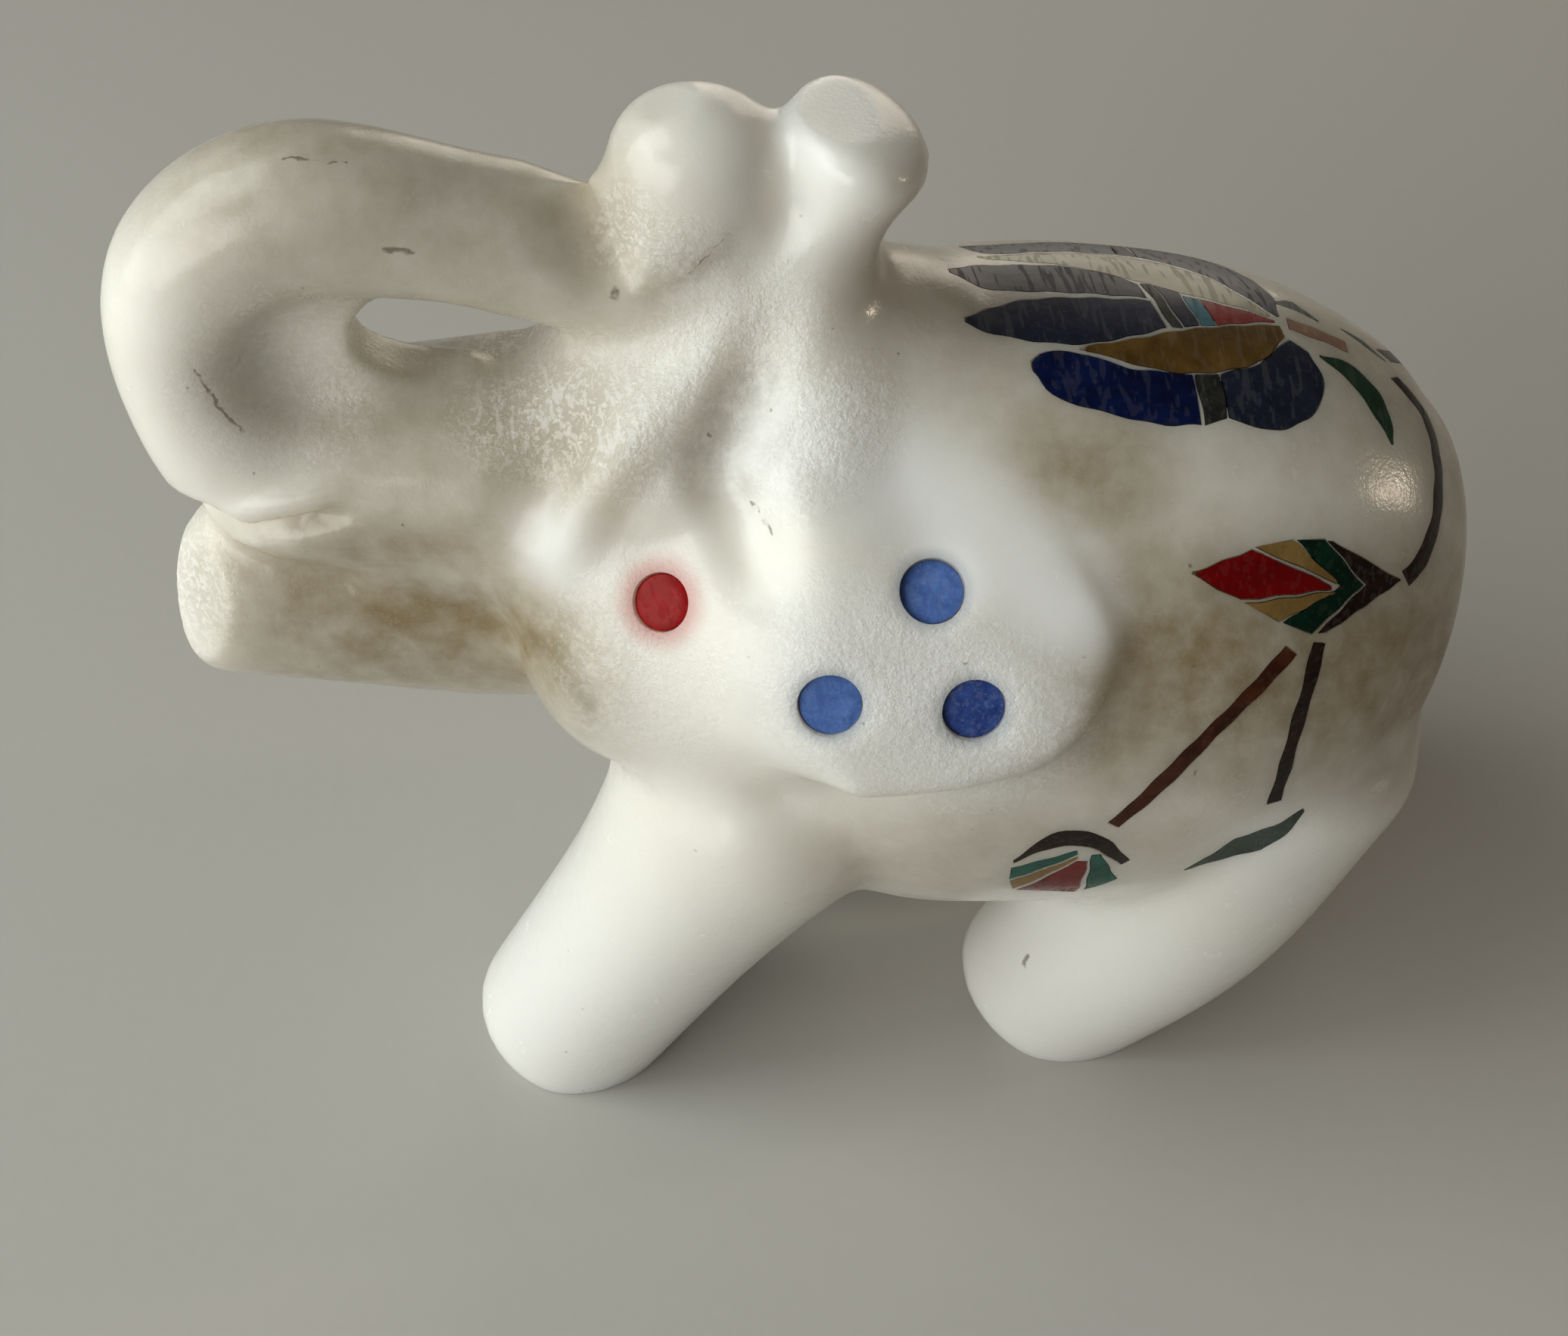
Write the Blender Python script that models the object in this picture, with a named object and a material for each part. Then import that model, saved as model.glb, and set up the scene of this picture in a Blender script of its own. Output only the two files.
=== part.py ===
# Small marble elephant with its trunk curled back to its forehead, and coloured stones let into it.
# Metres, +Z up. It faces -X, its left side is towards -Y, and it stands on its four feet at Z = 0.

import math

import bmesh
import bpy
import numpy as np
from mathutils import Matrix, Vector
from mathutils.bvhtree import BVHTree

# Driving dimensions
HEIGHT = 0.0640           # from the floor to the top of the trunk's tip
EYE_DIAMETER = 0.0029
DOT_DIAMETER = 0.0032     # the three dots on each ear
PLUG_LENGTH = 0.0018      # eyes and dots are short plugs in drilled holes
STONE_THICKNESS = 0.0012  # the thin stones of the flowers
JOINT = 0.0003            # the gap between a stone and what it touches
DOT_RECESS = 0.0002       # the dots lie a little below the ear's face
STEM_WIDTH = 0.0012
TWIG_WIDTH = 0.0009
TIP_WIDTH = 0.0002        # a pointed stone is blunt by this much
TOOL_CLEARANCE = 0.0010   # how far a pocket's cutter stands out of the marble

# The carved form is given in shares of the height: 64 shares from the floor to the top
SHARE = HEIGHT / 64
VOXEL = 0.7 * SHARE       # the grain in which the carved form is worked out
BLEND = 10                # passes that soften the meeting of limbs and body
EAR_BLEND = 3
FACES = 3500              # triangles of the carved form before the stones are let in

LEFT = -1
RIGHT = 1
SIDES = {"left": LEFT, "right": RIGHT}
RING = 20                 # points round a limb's section

# Limbs as stations: X, Y, Z, half width, half height
TORSO = [(-6, 0, 31, 12, 14), (-1, 0, 31.2, 15.5, 17.5), (6, 0, 31.2, 18.3, 19.6), (14, 0, 30.8, 18.8, 20),
         (22, 0, 29.8, 18.6, 19.4), (28, 0, 28.6, 16.7, 17.6), (32, 0, 27.4, 13.5, 15)]
TRUNK = [(-8, 0, 42, 9, 7), (-18, 0, 42.5, 7.5, 5.5), (-27.2, 0, 43.2, 6, 5.3), (-30.6, 0, 49, 5, 4.2),
         (-29.6, 0, 55, 4.8, 4.2), (-24, 0, 58.2, 4.6, 4.2), (-15, 0, 56.2, 4.2, 3.8),
         (-8, 0, 54.5, 4.4, 4.2), (-5, 0, 57, 4.6, 4.8), (-4.4, 0, 60, 4.4, 4.6)]
CROWN = [(-4, 0, 47, 8, 8), (0.3, 0, 54, 5.6, 4.2), (2.3, 0, 57.6, 4.6, 3), (3.6, 0, 60.8, 5.4, 3.9)]
JAW = [(-8, 0, 34, 8, 8), (-17, 0, 33, 6.5, 7), (-25, 0, 33.4, 5.8, 5.8), (-32.4, 0, 34.2, 5.3, 5.2)]
FRONT_LEG = [(-1, 9, 27, 9, 9), (-7.5, 8.6, 15, 7.2, 6.8), (-15.4, 7.2, 0, 6.3, 6.3)]
FRONT_LEG_BACK = [(1, 9, 27, 9, 9), (0, 8.8, 15, 7.2, 6.8), (-4, 8, 0, 6.3, 6.3)]
HIND_LEG = [(26.5, 9, 27, 9.5, 10), (23.3, 9, 13, 8, 7.8), (16.6, 7.4, 0, 6.3, 6.6)]
HIND_LEG_BACK = [(28, 9, 27, 9, 9.5), (28, 9, 13, 8, 7.6), (26, 8, 0, 6.3, 6.6)]

# Round masses: centre and half lengths
HEAD = ((-5, 0, 41), (11, 11, 12))
NECK = ((4, 0, 39), (12, 13, 14))
CHEEK = ((-7.6, 6.9, 35.2), (7.8, 7.8, 8.4))
EAR_ROOT = ((-1, 9, 36.5), (8.6, 8.6, 9))       # joins the ear to the cheek
HAUNCH = ((28, 6.8, 24), (9, 8.8, 11))
TRUNK_WEB = ((-24, 0, 50), (8, 2.2, 6.5))       # stone left standing inside the trunk's loop
TRUNK_HOLE = ((-18.4, 51.4), (3.9, 2.9))        # the opening cut through it
HOLE_CUTTER = 24
HOLE_SIDES = 28
PLUG_SIDES = 12

# An ear's outline on a cylinder about the body: X and the angle above the level
EAR_OUTLINE = [(-1, 64), (4.5, 71), (9.4, 67), (11.5, 58), (14.7, 42), (15.4, 32),
               (12, 17), (5, 12.5), (-2, 15), (-3.6, 26), (-2, 46)]
EAR_AXIS = 29.5
# An ear's loops from the inside out: how far each spreads from the middle, and its radius about the axis
EAR_LOOPS = ((0.02, 14), (1, 14), (1, 19.9), (0.93, 20.6), (0.5, 20.6), (0.02, 20.6))

# Work of the chisel: a path for one side, how wide it reaches, and how deep it goes (below 0 it stands up)
EAR_GROOVE = ([(-0.8, 4.8, 55.4), (-2.4, 6.6, 51), (-4.3, 8.8, 48), (-3.8, 10.8, 46.4), (-2.6, 13.6, 44)], 2.8, 0.9)
MOUTH = ([(-35, 2, 39.2), (-31, 5, 39.4), (-27, 6, 40), (-23, 6.6, 41)], 1.8, 1.0)
BROW = ([(-4.9, 6.3, 51.1), (-9.5, 8.1, 47.4), (-11.1, 8.5, 45), (-12.2, 8.8, 42.5)], 2.4, -0.7)
TAIL = ([(37, 0, 36), (38.4, 0, 30), (37.6, 0.6, 24), (35.4, 1.4, 17), (34.6, 2, 14)], 2.4, -1.2)

# Round stones, by the side: a place near the surface
EYE = (-7.5, 12, 41.6)
DOTS = [(5.9, 14.7, 43.8), (0.5, 18, 39.3), (7.8, 18.4, 38.7)]

# Flat stones lie on a capsule round the body: S runs along it from X = 0, and T round it from the spine.
# Each has two edges that run the same way, from one end to the other.
CAPSULE_END = 24
CAPSULE_AXIS = 30
CAPSULE_RADIUS = 19.5
EDGE_POINTS = 61          # how finely an edge is read before its rows are picked
ROW_SPACING = 2.6
END_ROOM = 3              # edge points kept free between an end row and the next
LOTUS = {
    "lotus_bud_left": ([(8.8, 2.2), (10.6, 1.0), (13, 0.3), (19.1, 0.1)],
                       [(8.8, 2.5), (10.6, 3.0), (14.5, 3.6), (17.5, 3.0), (19.6, 2.2)]),
    "lotus_bud_right": ([(8.6, -1.0), (10.4, -0.5), (13, -0.3), (19, -0.1)],
                        [(8.6, -1.3), (10.6, -2.9), (14.5, -3.0), (17.5, -2.2), (18.8, -1.4)]),
    "lotus_bud_joint": ([(19.0, -1.55), (19.9, 2.1)], [(19.6, -1.45), (20.5, 2.1)]),
    "lotus_bud_heel": ([(19.7, -1.4), (20.6, 2.0)], [(20.9, -1.0), (21.5, 1.8)]),
    "lotus_bud_collar": ([(21.1, -0.7), (21.6, 1.8)], [(22.0, -0.5), (22.5, 1.6)]),
    "lotus_bud_heart": ([(22.1, -0.5), (26.2, 0.1)], [(22.6, 1.6), (26.2, 0.3)]),
    "lotus_petal_right": ([(10.6, -4.2), (14.7, -5), (18.5, -5.1), (22.8, -3.6), (26.2, -0.2)],
                          [(10.6, -4), (15, -3.1), (18.5, -1.9), (21.5, -0.9), (26.2, -0.1)]),
    "lotus_petal_left": ([(14.6, 3.8), (17.5, 3.2), (20.3, 2.3), (23, 1.6), (26.4, 0.5)],
                         [(14.6, 3.9), (18.7, 5.1), (21.8, 5), (24.6, 3.8), (26.6, 1.4)]),
    "lotus_lobe_left_front": ([(12, 4.6), (12.8, 4), (14.9, 4.2), (17, 5), (20.4, 5.3)],
                              [(12, 5.2), (13, 6.6), (15.6, 7.6), (18.2, 8.2), (20.4, 8.2)]),
    "lotus_lobe_left_joint": ([(20.5, 5.3), (20.6, 8.2)], [(21.9, 5.1), (21.9, 7.8)]),
    "lotus_lobe_left_rear": ([(22, 5.1), (24.3, 4.2), (26.8, 1.6)],
                             [(22, 7.8), (24.6, 8.3), (27.3, 6.8), (28.3, 4.4), (27.8, 2.4)]),
    "lotus_lobe_right_front": ([(10, -6.2), (11.3, -4.8), (14.7, -5.3), (18.6, -5.4)],
                               [(10, -6.4), (12, -7.2), (15.6, -8), (18.6, -8.2)]),
    "lotus_lobe_right_joint": ([(18.7, -5.4), (18.7, -8.2)], [(19.6, -5.3), (19.6, -8.3)]),
    "lotus_lobe_right_rear": ([(19.7, -5.3), (22, -4.4), (24.3, -2.6), (26.5, -0.3)],
                              [(19.7, -8.3), (22.4, -8.4), (25.4, -6.6), (26.9, -3.2), (26.7, -0.4)]),
    "lotus_leaf_left": ([(28.6, 2.3), (31, 2.2), (32.7, 4), (33.1, 6), (32.9, 8)],
                        [(28.6, 2.5), (30.2, 3.8), (31.4, 5.6), (32.7, 8)]),
    "lotus_leaf_right": ([(26.9, -2.3), (28.4, -3.2), (29.8, -1.7)],
                         [(26.9, -2.1), (28.3, -1.9), (29.7, -1.5)]),
    "lotus_leaf_rear": ([(31.6, -2.2), (33.2, -2), (34.6, -0.6)], [(31.6, -2), (33, -1.1), (34.5, -0.4)]),
}
FLANK = {
    "flower": ([(19.2, 15.8), (22.4, 14.8), (27.2, 17)], [(19.2, 15.9), (21.7, 17.4), (27.2, 17.2)]),
    "flower_cream_upper": ([(22.6, 14.7), (27.5, 16.9)], [(24.8, 14.4), (27.6, 16.8)]),
    "flower_cream_lower": ([(21.9, 17.6), (27.4, 17.3)], [(23.8, 18.7), (27.5, 17.4)]),
    "flower_collar": ([(25, 14.4), (27.8, 17.1), (24, 18.8)], [(26.8, 14.4), (29.4, 17.1), (25.8, 19.6)]),
    "flower_calyx": ([(27, 14.5), (29.6, 17.1), (26.2, 19.6)], [(27.4, 14.5), (32.6, 17.1), (26.8, 19.7)]),
    "small_bud_calyx": ([(10.8, 34.6), (12.3, 33.2), (14.2, 32.9), (15.4, 33.6), (16.8, 35.4)],
                  [(10.7, 34.2), (12.3, 31.8), (14.1, 31.4), (15.8, 32.6), (17.2, 34.8)]),
    "small_bud_green_front": ([(10.8, 35.2), (14.1, 33.4)], [(10.8, 37), (14.2, 33.9)]),
    "small_bud_cream": ([(10.9, 37.2), (14.2, 34.1)], [(11.2, 38.8), (14.3, 34.4)]),
    "small_bud_red": ([(11.4, 39), (14.3, 34.7)], [(15, 40), (14.9, 34.7)]),
    "small_bud_green_rear": ([(15.4, 39.4), (15, 33.9)], [(16.9, 37.4), (15.5, 33.9)]),
    "low_leaf": ([(20.6, 36.9), (23, 33.8), (26.9, 32.2)], [(20.7, 37), (24.6, 34.9), (27, 32.4)]),
}
STRIPES = {
    "lotus_stripe": ([(27.1, 0.1), (31.2, 0.4)], STEM_WIDTH, None),
    "stem": ([(33, 17), (34.6, 15.8), (36.4, 12.6), (37.3, 8), (37, 4), (34.8, 1.3)], STEM_WIDTH, SIDES),
    "twig_front": ([(24.6, 20.4), (20, 25.3), (15.8, 31)], TWIG_WIDTH, SIDES),
    "twig_rear": ([(26.4, 20.2), (25.3, 25.7), (24.8, 31)], TWIG_WIDTH, SIDES),
}

# Each stone: colour and roughness
STONES = {
    "marble": ((0.82, 0.80, 0.74), 0.28),
    "lapis": ((0.02, 0.04, 0.22), 0.3),
    "lapis_dark": ((0.05, 0.055, 0.12), 0.35),
    "sodalite": ((0.10, 0.17, 0.50), 0.4),
    "turquoise": ((0.09, 0.32, 0.38), 0.3),
    "red_jasper": ((0.45, 0.01, 0.01), 0.2),
    "coral": ((0.50, 0.13, 0.10), 0.3),
    "ochre_jasper": ((0.33, 0.19, 0.05), 0.3),
    "shell": ((0.68, 0.62, 0.42), 0.25),
    "malachite": ((0.01, 0.18, 0.10), 0.3),
    "brown_jasper": ((0.10, 0.035, 0.02), 0.35),
    "taupe_filler": ((0.20, 0.18, 0.15), 0.5),
}
# Which stone a piece is made of, by the start of its name
MADE_OF = {
    "marble": "marble",
    "eye": "red_jasper",
    "ear_dot": "sodalite",
    "lotus_bud": "lapis_dark",
    "lotus_bud_joint": "taupe_filler",
    "lotus_bud_collar": "turquoise",
    "lotus_bud_heart": "red_jasper",
    "lotus_petal_left": "ochre_jasper",
    "lotus_petal_right": "shell",
    "lotus_lobe": "lapis_dark",
    "lotus_lobe_left_front": "lapis",
    "lotus_lobe_left_joint": "taupe_filler",
    "lotus_lobe_right_joint": "taupe_filler",
    "lotus_leaf": "malachite",
    "lotus_stripe": "coral",
    "flower": "red_jasper",
    "flower_cream": "shell",
    "flower_collar": "malachite",
    "flower_calyx": "brown_jasper",
    "small_bud_calyx": "brown_jasper",
    "small_bud_green": "malachite",
    "small_bud_cream": "shell",
    "small_bud_red": "red_jasper",
    "low_leaf": "malachite",
    "stem": "brown_jasper",
    "twig": "brown_jasper",
}


def smooth_path(points, steps):
    """A Catmull-Rom curve through points of any width."""
    pts = np.array(points, float)
    ends = np.vstack([2 * pts[0] - pts[1], pts, 2 * pts[-1] - pts[-2]])
    curve = []
    for a, b, c, d in zip(ends, ends[1:], ends[2:], ends[3:]):
        for k in range(steps):
            t = k / steps
            bend = (2 * a - 5 * b + 4 * c - d) + t * (3 * (b - c) + d - a)
            curve.append(b + 0.5 * t * ((c - a) + t * bend))
    curve.append(pts[-1])
    return np.array(curve)


def new_object(name, mesh_data):
    mesh = bpy.data.meshes.new(name)
    mesh_data.to_mesh(mesh)
    mesh_data.free()
    obj = bpy.data.objects.new(name, mesh)
    bpy.context.scene.collection.objects.link(obj)
    return obj


def face_outwards(mesh_data):
    bmesh.ops.recalc_face_normals(mesh_data, faces=mesh_data.faces)
    if mesh_data.calc_volume(signed=True) < 0:
        bmesh.ops.reverse_faces(mesh_data, faces=mesh_data.faces)


def bridge(mesh_data, loops):
    """Faces between one ring of points and the next."""
    rings = [[mesh_data.verts.new(Vector(p)) for p in loop] for loop in loops]
    for low, high in zip(rings, rings[1:]):
        for k in range(len(low)):
            n = (k + 1) % len(low)
            mesh_data.faces.new((low[k], low[n], high[n], high[k]))
    return rings


def limb(name, stations, steps=5, domes=(0.3, 0.3)):
    """A round tube through the stations, closed by a dome at each end."""
    curve = smooth_path(stations, steps) * SHARE
    path, width, height = curve[:, :3], curve[:, 3], curve[:, 4]
    along = np.gradient(path, axis=0)
    along /= np.linalg.norm(along, axis=1)[:, None]
    sections = [(path[i], along[i], width[i], height[i]) for i in range(len(path))]
    for end, way, share in ((0, -1, domes[0]), (-1, 1, domes[1])):
        centre, axis, half_width, half_height = sections[end]
        for angle in (20, 40, 58, 74):
            rise = math.sin(math.radians(angle)) * half_height * share * way
            size = math.cos(math.radians(angle))
            section = (centre + axis * rise, axis, half_width * size, half_height * size)
            if way < 0:
                sections.insert(0, section)
            else:
                sections.append(section)
    loops = []
    for centre, axis, half_width, half_height in sections:
        across = np.array([0, 1, 0]) - axis * axis[1]
        across /= np.linalg.norm(across)
        up = np.cross(axis, across)
        across *= half_width
        up *= half_height
        turns = np.linspace(0, 2 * math.pi, RING, endpoint=False)
        loops.append([centre + across * math.cos(a) + up * math.sin(a) for a in turns])
    mesh_data = bmesh.new()
    rings = bridge(mesh_data, loops)
    mesh_data.faces.new(rings[0])
    mesh_data.faces.new(rings[-1])
    face_outwards(mesh_data)
    return new_object(name, mesh_data)


def on_side(stations, side):
    return [(s[0], s[1] * side) + tuple(s[2:]) for s in stations]


def ball(name, form, side=1):
    (x, y, z), radii = form
    mesh_data = bmesh.new()
    place = Matrix.LocRotScale(Vector((x, y * side, z)) * SHARE, None, Vector(radii) * SHARE)
    bmesh.ops.create_icosphere(mesh_data, subdivisions=3, radius=1, matrix=place)
    return new_object(name, mesh_data)


def ear(name, side):
    """A slab bent round the body, with its outline on a cylinder."""
    outline = smooth_path(EAR_OUTLINE + EAR_OUTLINE[:1], 3)[:-1]
    middle = outline.mean(axis=0)
    loops = []
    for spread, radius in EAR_LOOPS:
        loop = []
        for x, angle in middle + (outline - middle) * spread:
            turn = math.radians(angle)
            point = (x, side * radius * math.cos(turn), EAR_AXIS + radius * math.sin(turn))
            loop.append(Vector(point) * SHARE)
        loops.append(loop)
    mesh_data = bmesh.new()
    rings = bridge(mesh_data, loops)
    mesh_data.faces.new(rings[0])
    mesh_data.faces.new(rings[-1])
    face_outwards(mesh_data)
    return new_object(name, mesh_data)


def apply_modifiers(obj):
    """Keep what the modifiers make, as a plain mesh."""
    graph = bpy.context.evaluated_depsgraph_get()
    mesh = bpy.data.meshes.new_from_object(obj.evaluated_get(graph))
    obj.modifiers.clear()
    obj.data = mesh


def joined(name, objects):
    mesh_data = bmesh.new()
    for obj in objects:
        mesh_data.from_mesh(obj.data)
        bpy.data.objects.remove(obj)
    return new_object(name, mesh_data)


def melt(obj, voxel, passes):
    """One skin over all that overlaps in the mesh, softened by a number of passes."""
    remesh = obj.modifiers.new("One skin", "REMESH")
    remesh.mode = "VOXEL"
    remesh.voxel_size = voxel
    soften = obj.modifiers.new("Soften", "SMOOTH")
    soften.factor = 0.5
    soften.iterations = passes
    apply_modifiers(obj)


def unit_cylinder(mesh_data, sides, place):
    bmesh.ops.create_cone(mesh_data, cap_ends=True, segments=sides, radius1=1, radius2=1, depth=1, matrix=place)


def cut_hole(obj):
    """The opening through the trunk's loop."""
    (x, z), (half_length, half_height) = TRUNK_HOLE
    mesh_data = bmesh.new()
    place = Matrix.Translation(Vector((x, 0, z)) * SHARE)
    place = place @ Matrix.Rotation(math.pi / 2, 4, "X")
    place = place @ Matrix.Diagonal(Vector((half_length * SHARE, half_height * SHARE, HOLE_CUTTER * SHARE, 1)))
    unit_cylinder(mesh_data, HOLE_SIDES, place)
    cutter = new_object("hole_cutter", mesh_data)
    cut = obj.modifiers.new("Hole", "BOOLEAN")
    cut.operation = "DIFFERENCE"
    cut.object = cutter
    apply_modifiers(obj)
    bpy.data.objects.remove(cutter)


def stroke(obj, path, radius, depth):
    """Carve (depth above 0) or raise (below 0) the surface along a path, as a round chisel would."""
    mesh = obj.data
    count = len(mesh.vertices)
    points = np.empty(count * 3)
    normals = np.empty(count * 3)
    mesh.vertices.foreach_get("co", points)
    mesh.vertices.foreach_get("normal", normals)
    points = points.reshape(-1, 3)
    line = smooth_path(path, 8) * SHARE
    near = np.full(count, 9.9)
    for a, b in zip(line, line[1:]):
        span = b - a
        t = np.clip((points - a) @ span / (span @ span), 0, 1)
        near = np.minimum(near, np.linalg.norm(points - a - t[:, None] * span, axis=1))
    weight = np.clip(1 - (near / (radius * SHARE)) ** 2, 0, 1) ** 2
    points = points - normals.reshape(-1, 3) * (weight * depth * SHARE)[:, None]
    mesh.vertices.foreach_set("co", points.ravel())
    mesh.update()


def carve_details(obj):
    """What a chisel adds to the melted masses, on both sides alike."""
    for side in SIDES.values():
        for path, radius, depth in (EAR_GROOVE, MOUTH, BROW):
            stroke(obj, on_side(path, side), radius, depth)
    stroke(obj, *TAIL)


def carved_form():
    """The whole animal in one skin, before its feet are cut flat."""
    masses = [
        limb("torso", TORSO, domes=(0.5, 0.33)),
        limb("trunk", TRUNK, domes=(0.5, 0.75)),
        limb("crown", CROWN, domes=(0.3, 0.35)),
        limb("jaw", JAW, domes=(0.3, 0.45)),
        limb("front_leg_left", on_side(FRONT_LEG, LEFT)),
        limb("front_leg_right", on_side(FRONT_LEG_BACK, RIGHT)),
        limb("hind_leg_left", on_side(HIND_LEG, LEFT)),
        limb("hind_leg_right", on_side(HIND_LEG_BACK, RIGHT)),
        ball("head", HEAD),
        ball("neck", NECK),
        ball("web", TRUNK_WEB),
    ]
    for side in SIDES.values():
        masses.append(ball("cheek", CHEEK, side))
        masses.append(ball("ear_root", EAR_ROOT, side))
        masses.append(ball("haunch", HAUNCH, side))
    form = joined("marble_elephant", masses)
    melt(form, VOXEL, BLEND)
    cut_hole(form)
    form = joined("marble_elephant", [form] + [ear("ear", side) for side in SIDES.values()])
    melt(form, VOXEL, EAR_BLEND)
    carve_details(form)
    return form


def thinned(form):
    """A copy with few faces and four flat soles at Z = 0."""
    obj = form.copy()
    obj.data = form.data.copy()
    bpy.context.scene.collection.objects.link(obj)
    thin = obj.modifiers.new("Few faces", "DECIMATE")
    thin.ratio = FACES / (2 * len(obj.data.polygons))
    apply_modifiers(obj)
    mesh_data = bmesh.new()
    mesh_data.from_mesh(obj.data)
    everything = mesh_data.verts[:] + mesh_data.edges[:] + mesh_data.faces[:]
    floor = {"plane_co": (0, 0, 0), "plane_no": (0, 0, 1)}
    cut = bmesh.ops.bisect_plane(mesh_data, geom=everything, clear_inner=True, **floor)
    rims = [e for e in cut["geom_cut"] if isinstance(e, bmesh.types.BMEdge)]
    bmesh.ops.holes_fill(mesh_data, edges=rims)
    for vert in mesh_data.verts:
        if abs(vert.co.z) < 1e-6:
            vert.co.z = 0
    bmesh.ops.triangulate(mesh_data, faces=mesh_data.faces)
    mesh_data.to_mesh(obj.data)
    mesh_data.free()
    return obj


def inwards(s, t):
    """The point on the capsule's axis and the way out of it for a place in the pattern."""
    bend = max(s - CAPSULE_END, 0) / CAPSULE_RADIUS
    roll = t / CAPSULE_RADIUS
    start = Vector((min(s, CAPSULE_END), 0, CAPSULE_AXIS)) * SHARE
    out = Vector((math.sin(bend), -math.cos(bend) * math.sin(roll), math.cos(bend) * math.cos(roll)))
    return start, out


def on_surface(tree, s, t, level):
    """A pattern place on the marble, raised by level along the way out."""
    start, out = inwards(s, t)
    hit = tree.ray_cast(start + out * HEIGHT, -out)[0]
    return hit + out * level


def resampled(edge, count):
    """Points along an edge: evenly spaced on a curve, or with a lone corner in the middle."""
    pts = np.array(edge, float)
    if len(edge) > 3:
        pts = smooth_path(edge, 8)
    reach = np.concatenate([[0], np.cumsum(np.linalg.norm(np.diff(pts, axis=0), axis=1))])
    if len(edge) == 3:
        reach = np.array([0, 0.5, 1])
    even = np.linspace(0, reach[-1], count)
    return np.stack([np.interp(even, reach, pts[:, k]) for k in (0, 1)], axis=1)


def square_to(line):
    """The way square to a line of pattern places, at each of them."""
    along = np.gradient(line, axis=0)
    along /= np.maximum(np.linalg.norm(along, axis=1), 1e-9)[:, None]
    return np.stack([-along[:, 1], along[:, 0]], axis=1)


def moved_out(edge, other, distance):
    """An edge moved square to itself, away from the other one."""
    square = square_to(edge)
    facing = np.sign(np.sum(square * (edge - other)))
    return edge + square * facing * distance


def strip_rows(edges, grow):
    """Rows of a stone's outline, grown or drawn in by some shares, as pairs of pattern places."""
    plain = [resampled(edge, EDGE_POINTS) for edge in edges]
    a = moved_out(plain[0], plain[1], grow)
    b = moved_out(plain[1], plain[0], grow)
    length = np.linalg.norm(np.diff(a + b, axis=0), axis=1).sum() / 2
    picks = np.linspace(0, EDGE_POINTS - 1, 2 * math.ceil(length / ROW_SPACING / 2) + 1).astype(int)
    middle = (a + b) / 2
    for end, inner in ((0, 1), (-1, -2)):
        way = (middle[end] - middle[inner]) / np.linalg.norm(middle[end] - middle[inner])
        a[end] += way * grow
        b[end] += way * grow
    if grow < 0:
        square = square_to(middle)
        facing = np.sign(np.sum(square * (plain[0] - plain[1])))
        wide = np.nonzero(np.sum(square * (a - b), axis=1) * facing > TIP_WIDTH / SHARE)[0]
        first, last = wide[0], wide[-1]
        picks = [first] + [k for k in picks if first + END_ROOM < k < last - END_ROOM] + [last]
    return [(a[k], b[k]) for k in picks]


def slab(name, tree, edges, grow, top, bottom):
    """A thin solid that follows the marble's surface between two edges."""
    mesh_data = bmesh.new()
    rings = []
    for a, b in strip_rows(edges, grow / SHARE):
        places = [(a, top), (b, top), (b, bottom), (a, bottom)]
        rings.append([on_surface(tree, place[0], place[1], level) for place, level in places])
    rings = bridge(mesh_data, rings)
    mesh_data.faces.new(rings[0])
    mesh_data.faces.new(rings[-1])
    bmesh.ops.triangulate(mesh_data, faces=mesh_data.faces)
    face_outwards(mesh_data)
    return new_object(name, mesh_data)


def plug(name, tree, place, side, diameter, grow, top, bottom):
    """A short round plug set square to the surface."""
    near = Vector((place[0], place[1] * side, place[2])) * SHARE
    centre, normal = tree.find_nearest(near)[:2]
    turn = normal.to_track_quat("Z", "Y").to_matrix().to_4x4()
    mesh_data = bmesh.new()
    size = diameter / 2 + grow
    place = Matrix.Translation(centre + normal * (top + bottom) / 2) @ turn
    place = place @ Matrix.Diagonal(Vector((size, size, top - bottom, 1)))
    unit_cylinder(mesh_data, PLUG_SIDES, place)
    bmesh.ops.triangulate(mesh_data, faces=mesh_data.faces)
    return new_object(name, mesh_data)


def mirrored(edges, side):
    return [[(s, -t * side) for s, t in edge] for edge in edges]


def stripe_edges(path, width):
    """Two edges on both sides of a path."""
    line = np.array(path, float)
    fine = smooth_path(line, 4)
    reach = square_to(fine) * (width / SHARE / 2)
    return [(fine + reach).tolist(), (fine - reach).tolist()]


def stone_outlines():
    """Every flat stone's name and its two edges."""
    outlines = dict(LOTUS)
    for side_name, side in SIDES.items():
        for name, edges in FLANK.items():
            outlines[f"{name}_{side_name}"] = mirrored(edges, side)
    for name, (path, width, sides) in STRIPES.items():
        edges = stripe_edges(path, width)
        if sides is None:
            outlines[name] = edges
            continue
        for side_name, side in sides.items():
            outlines[f"{name}_{side_name}"] = mirrored(edges, side)
    return outlines


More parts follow.
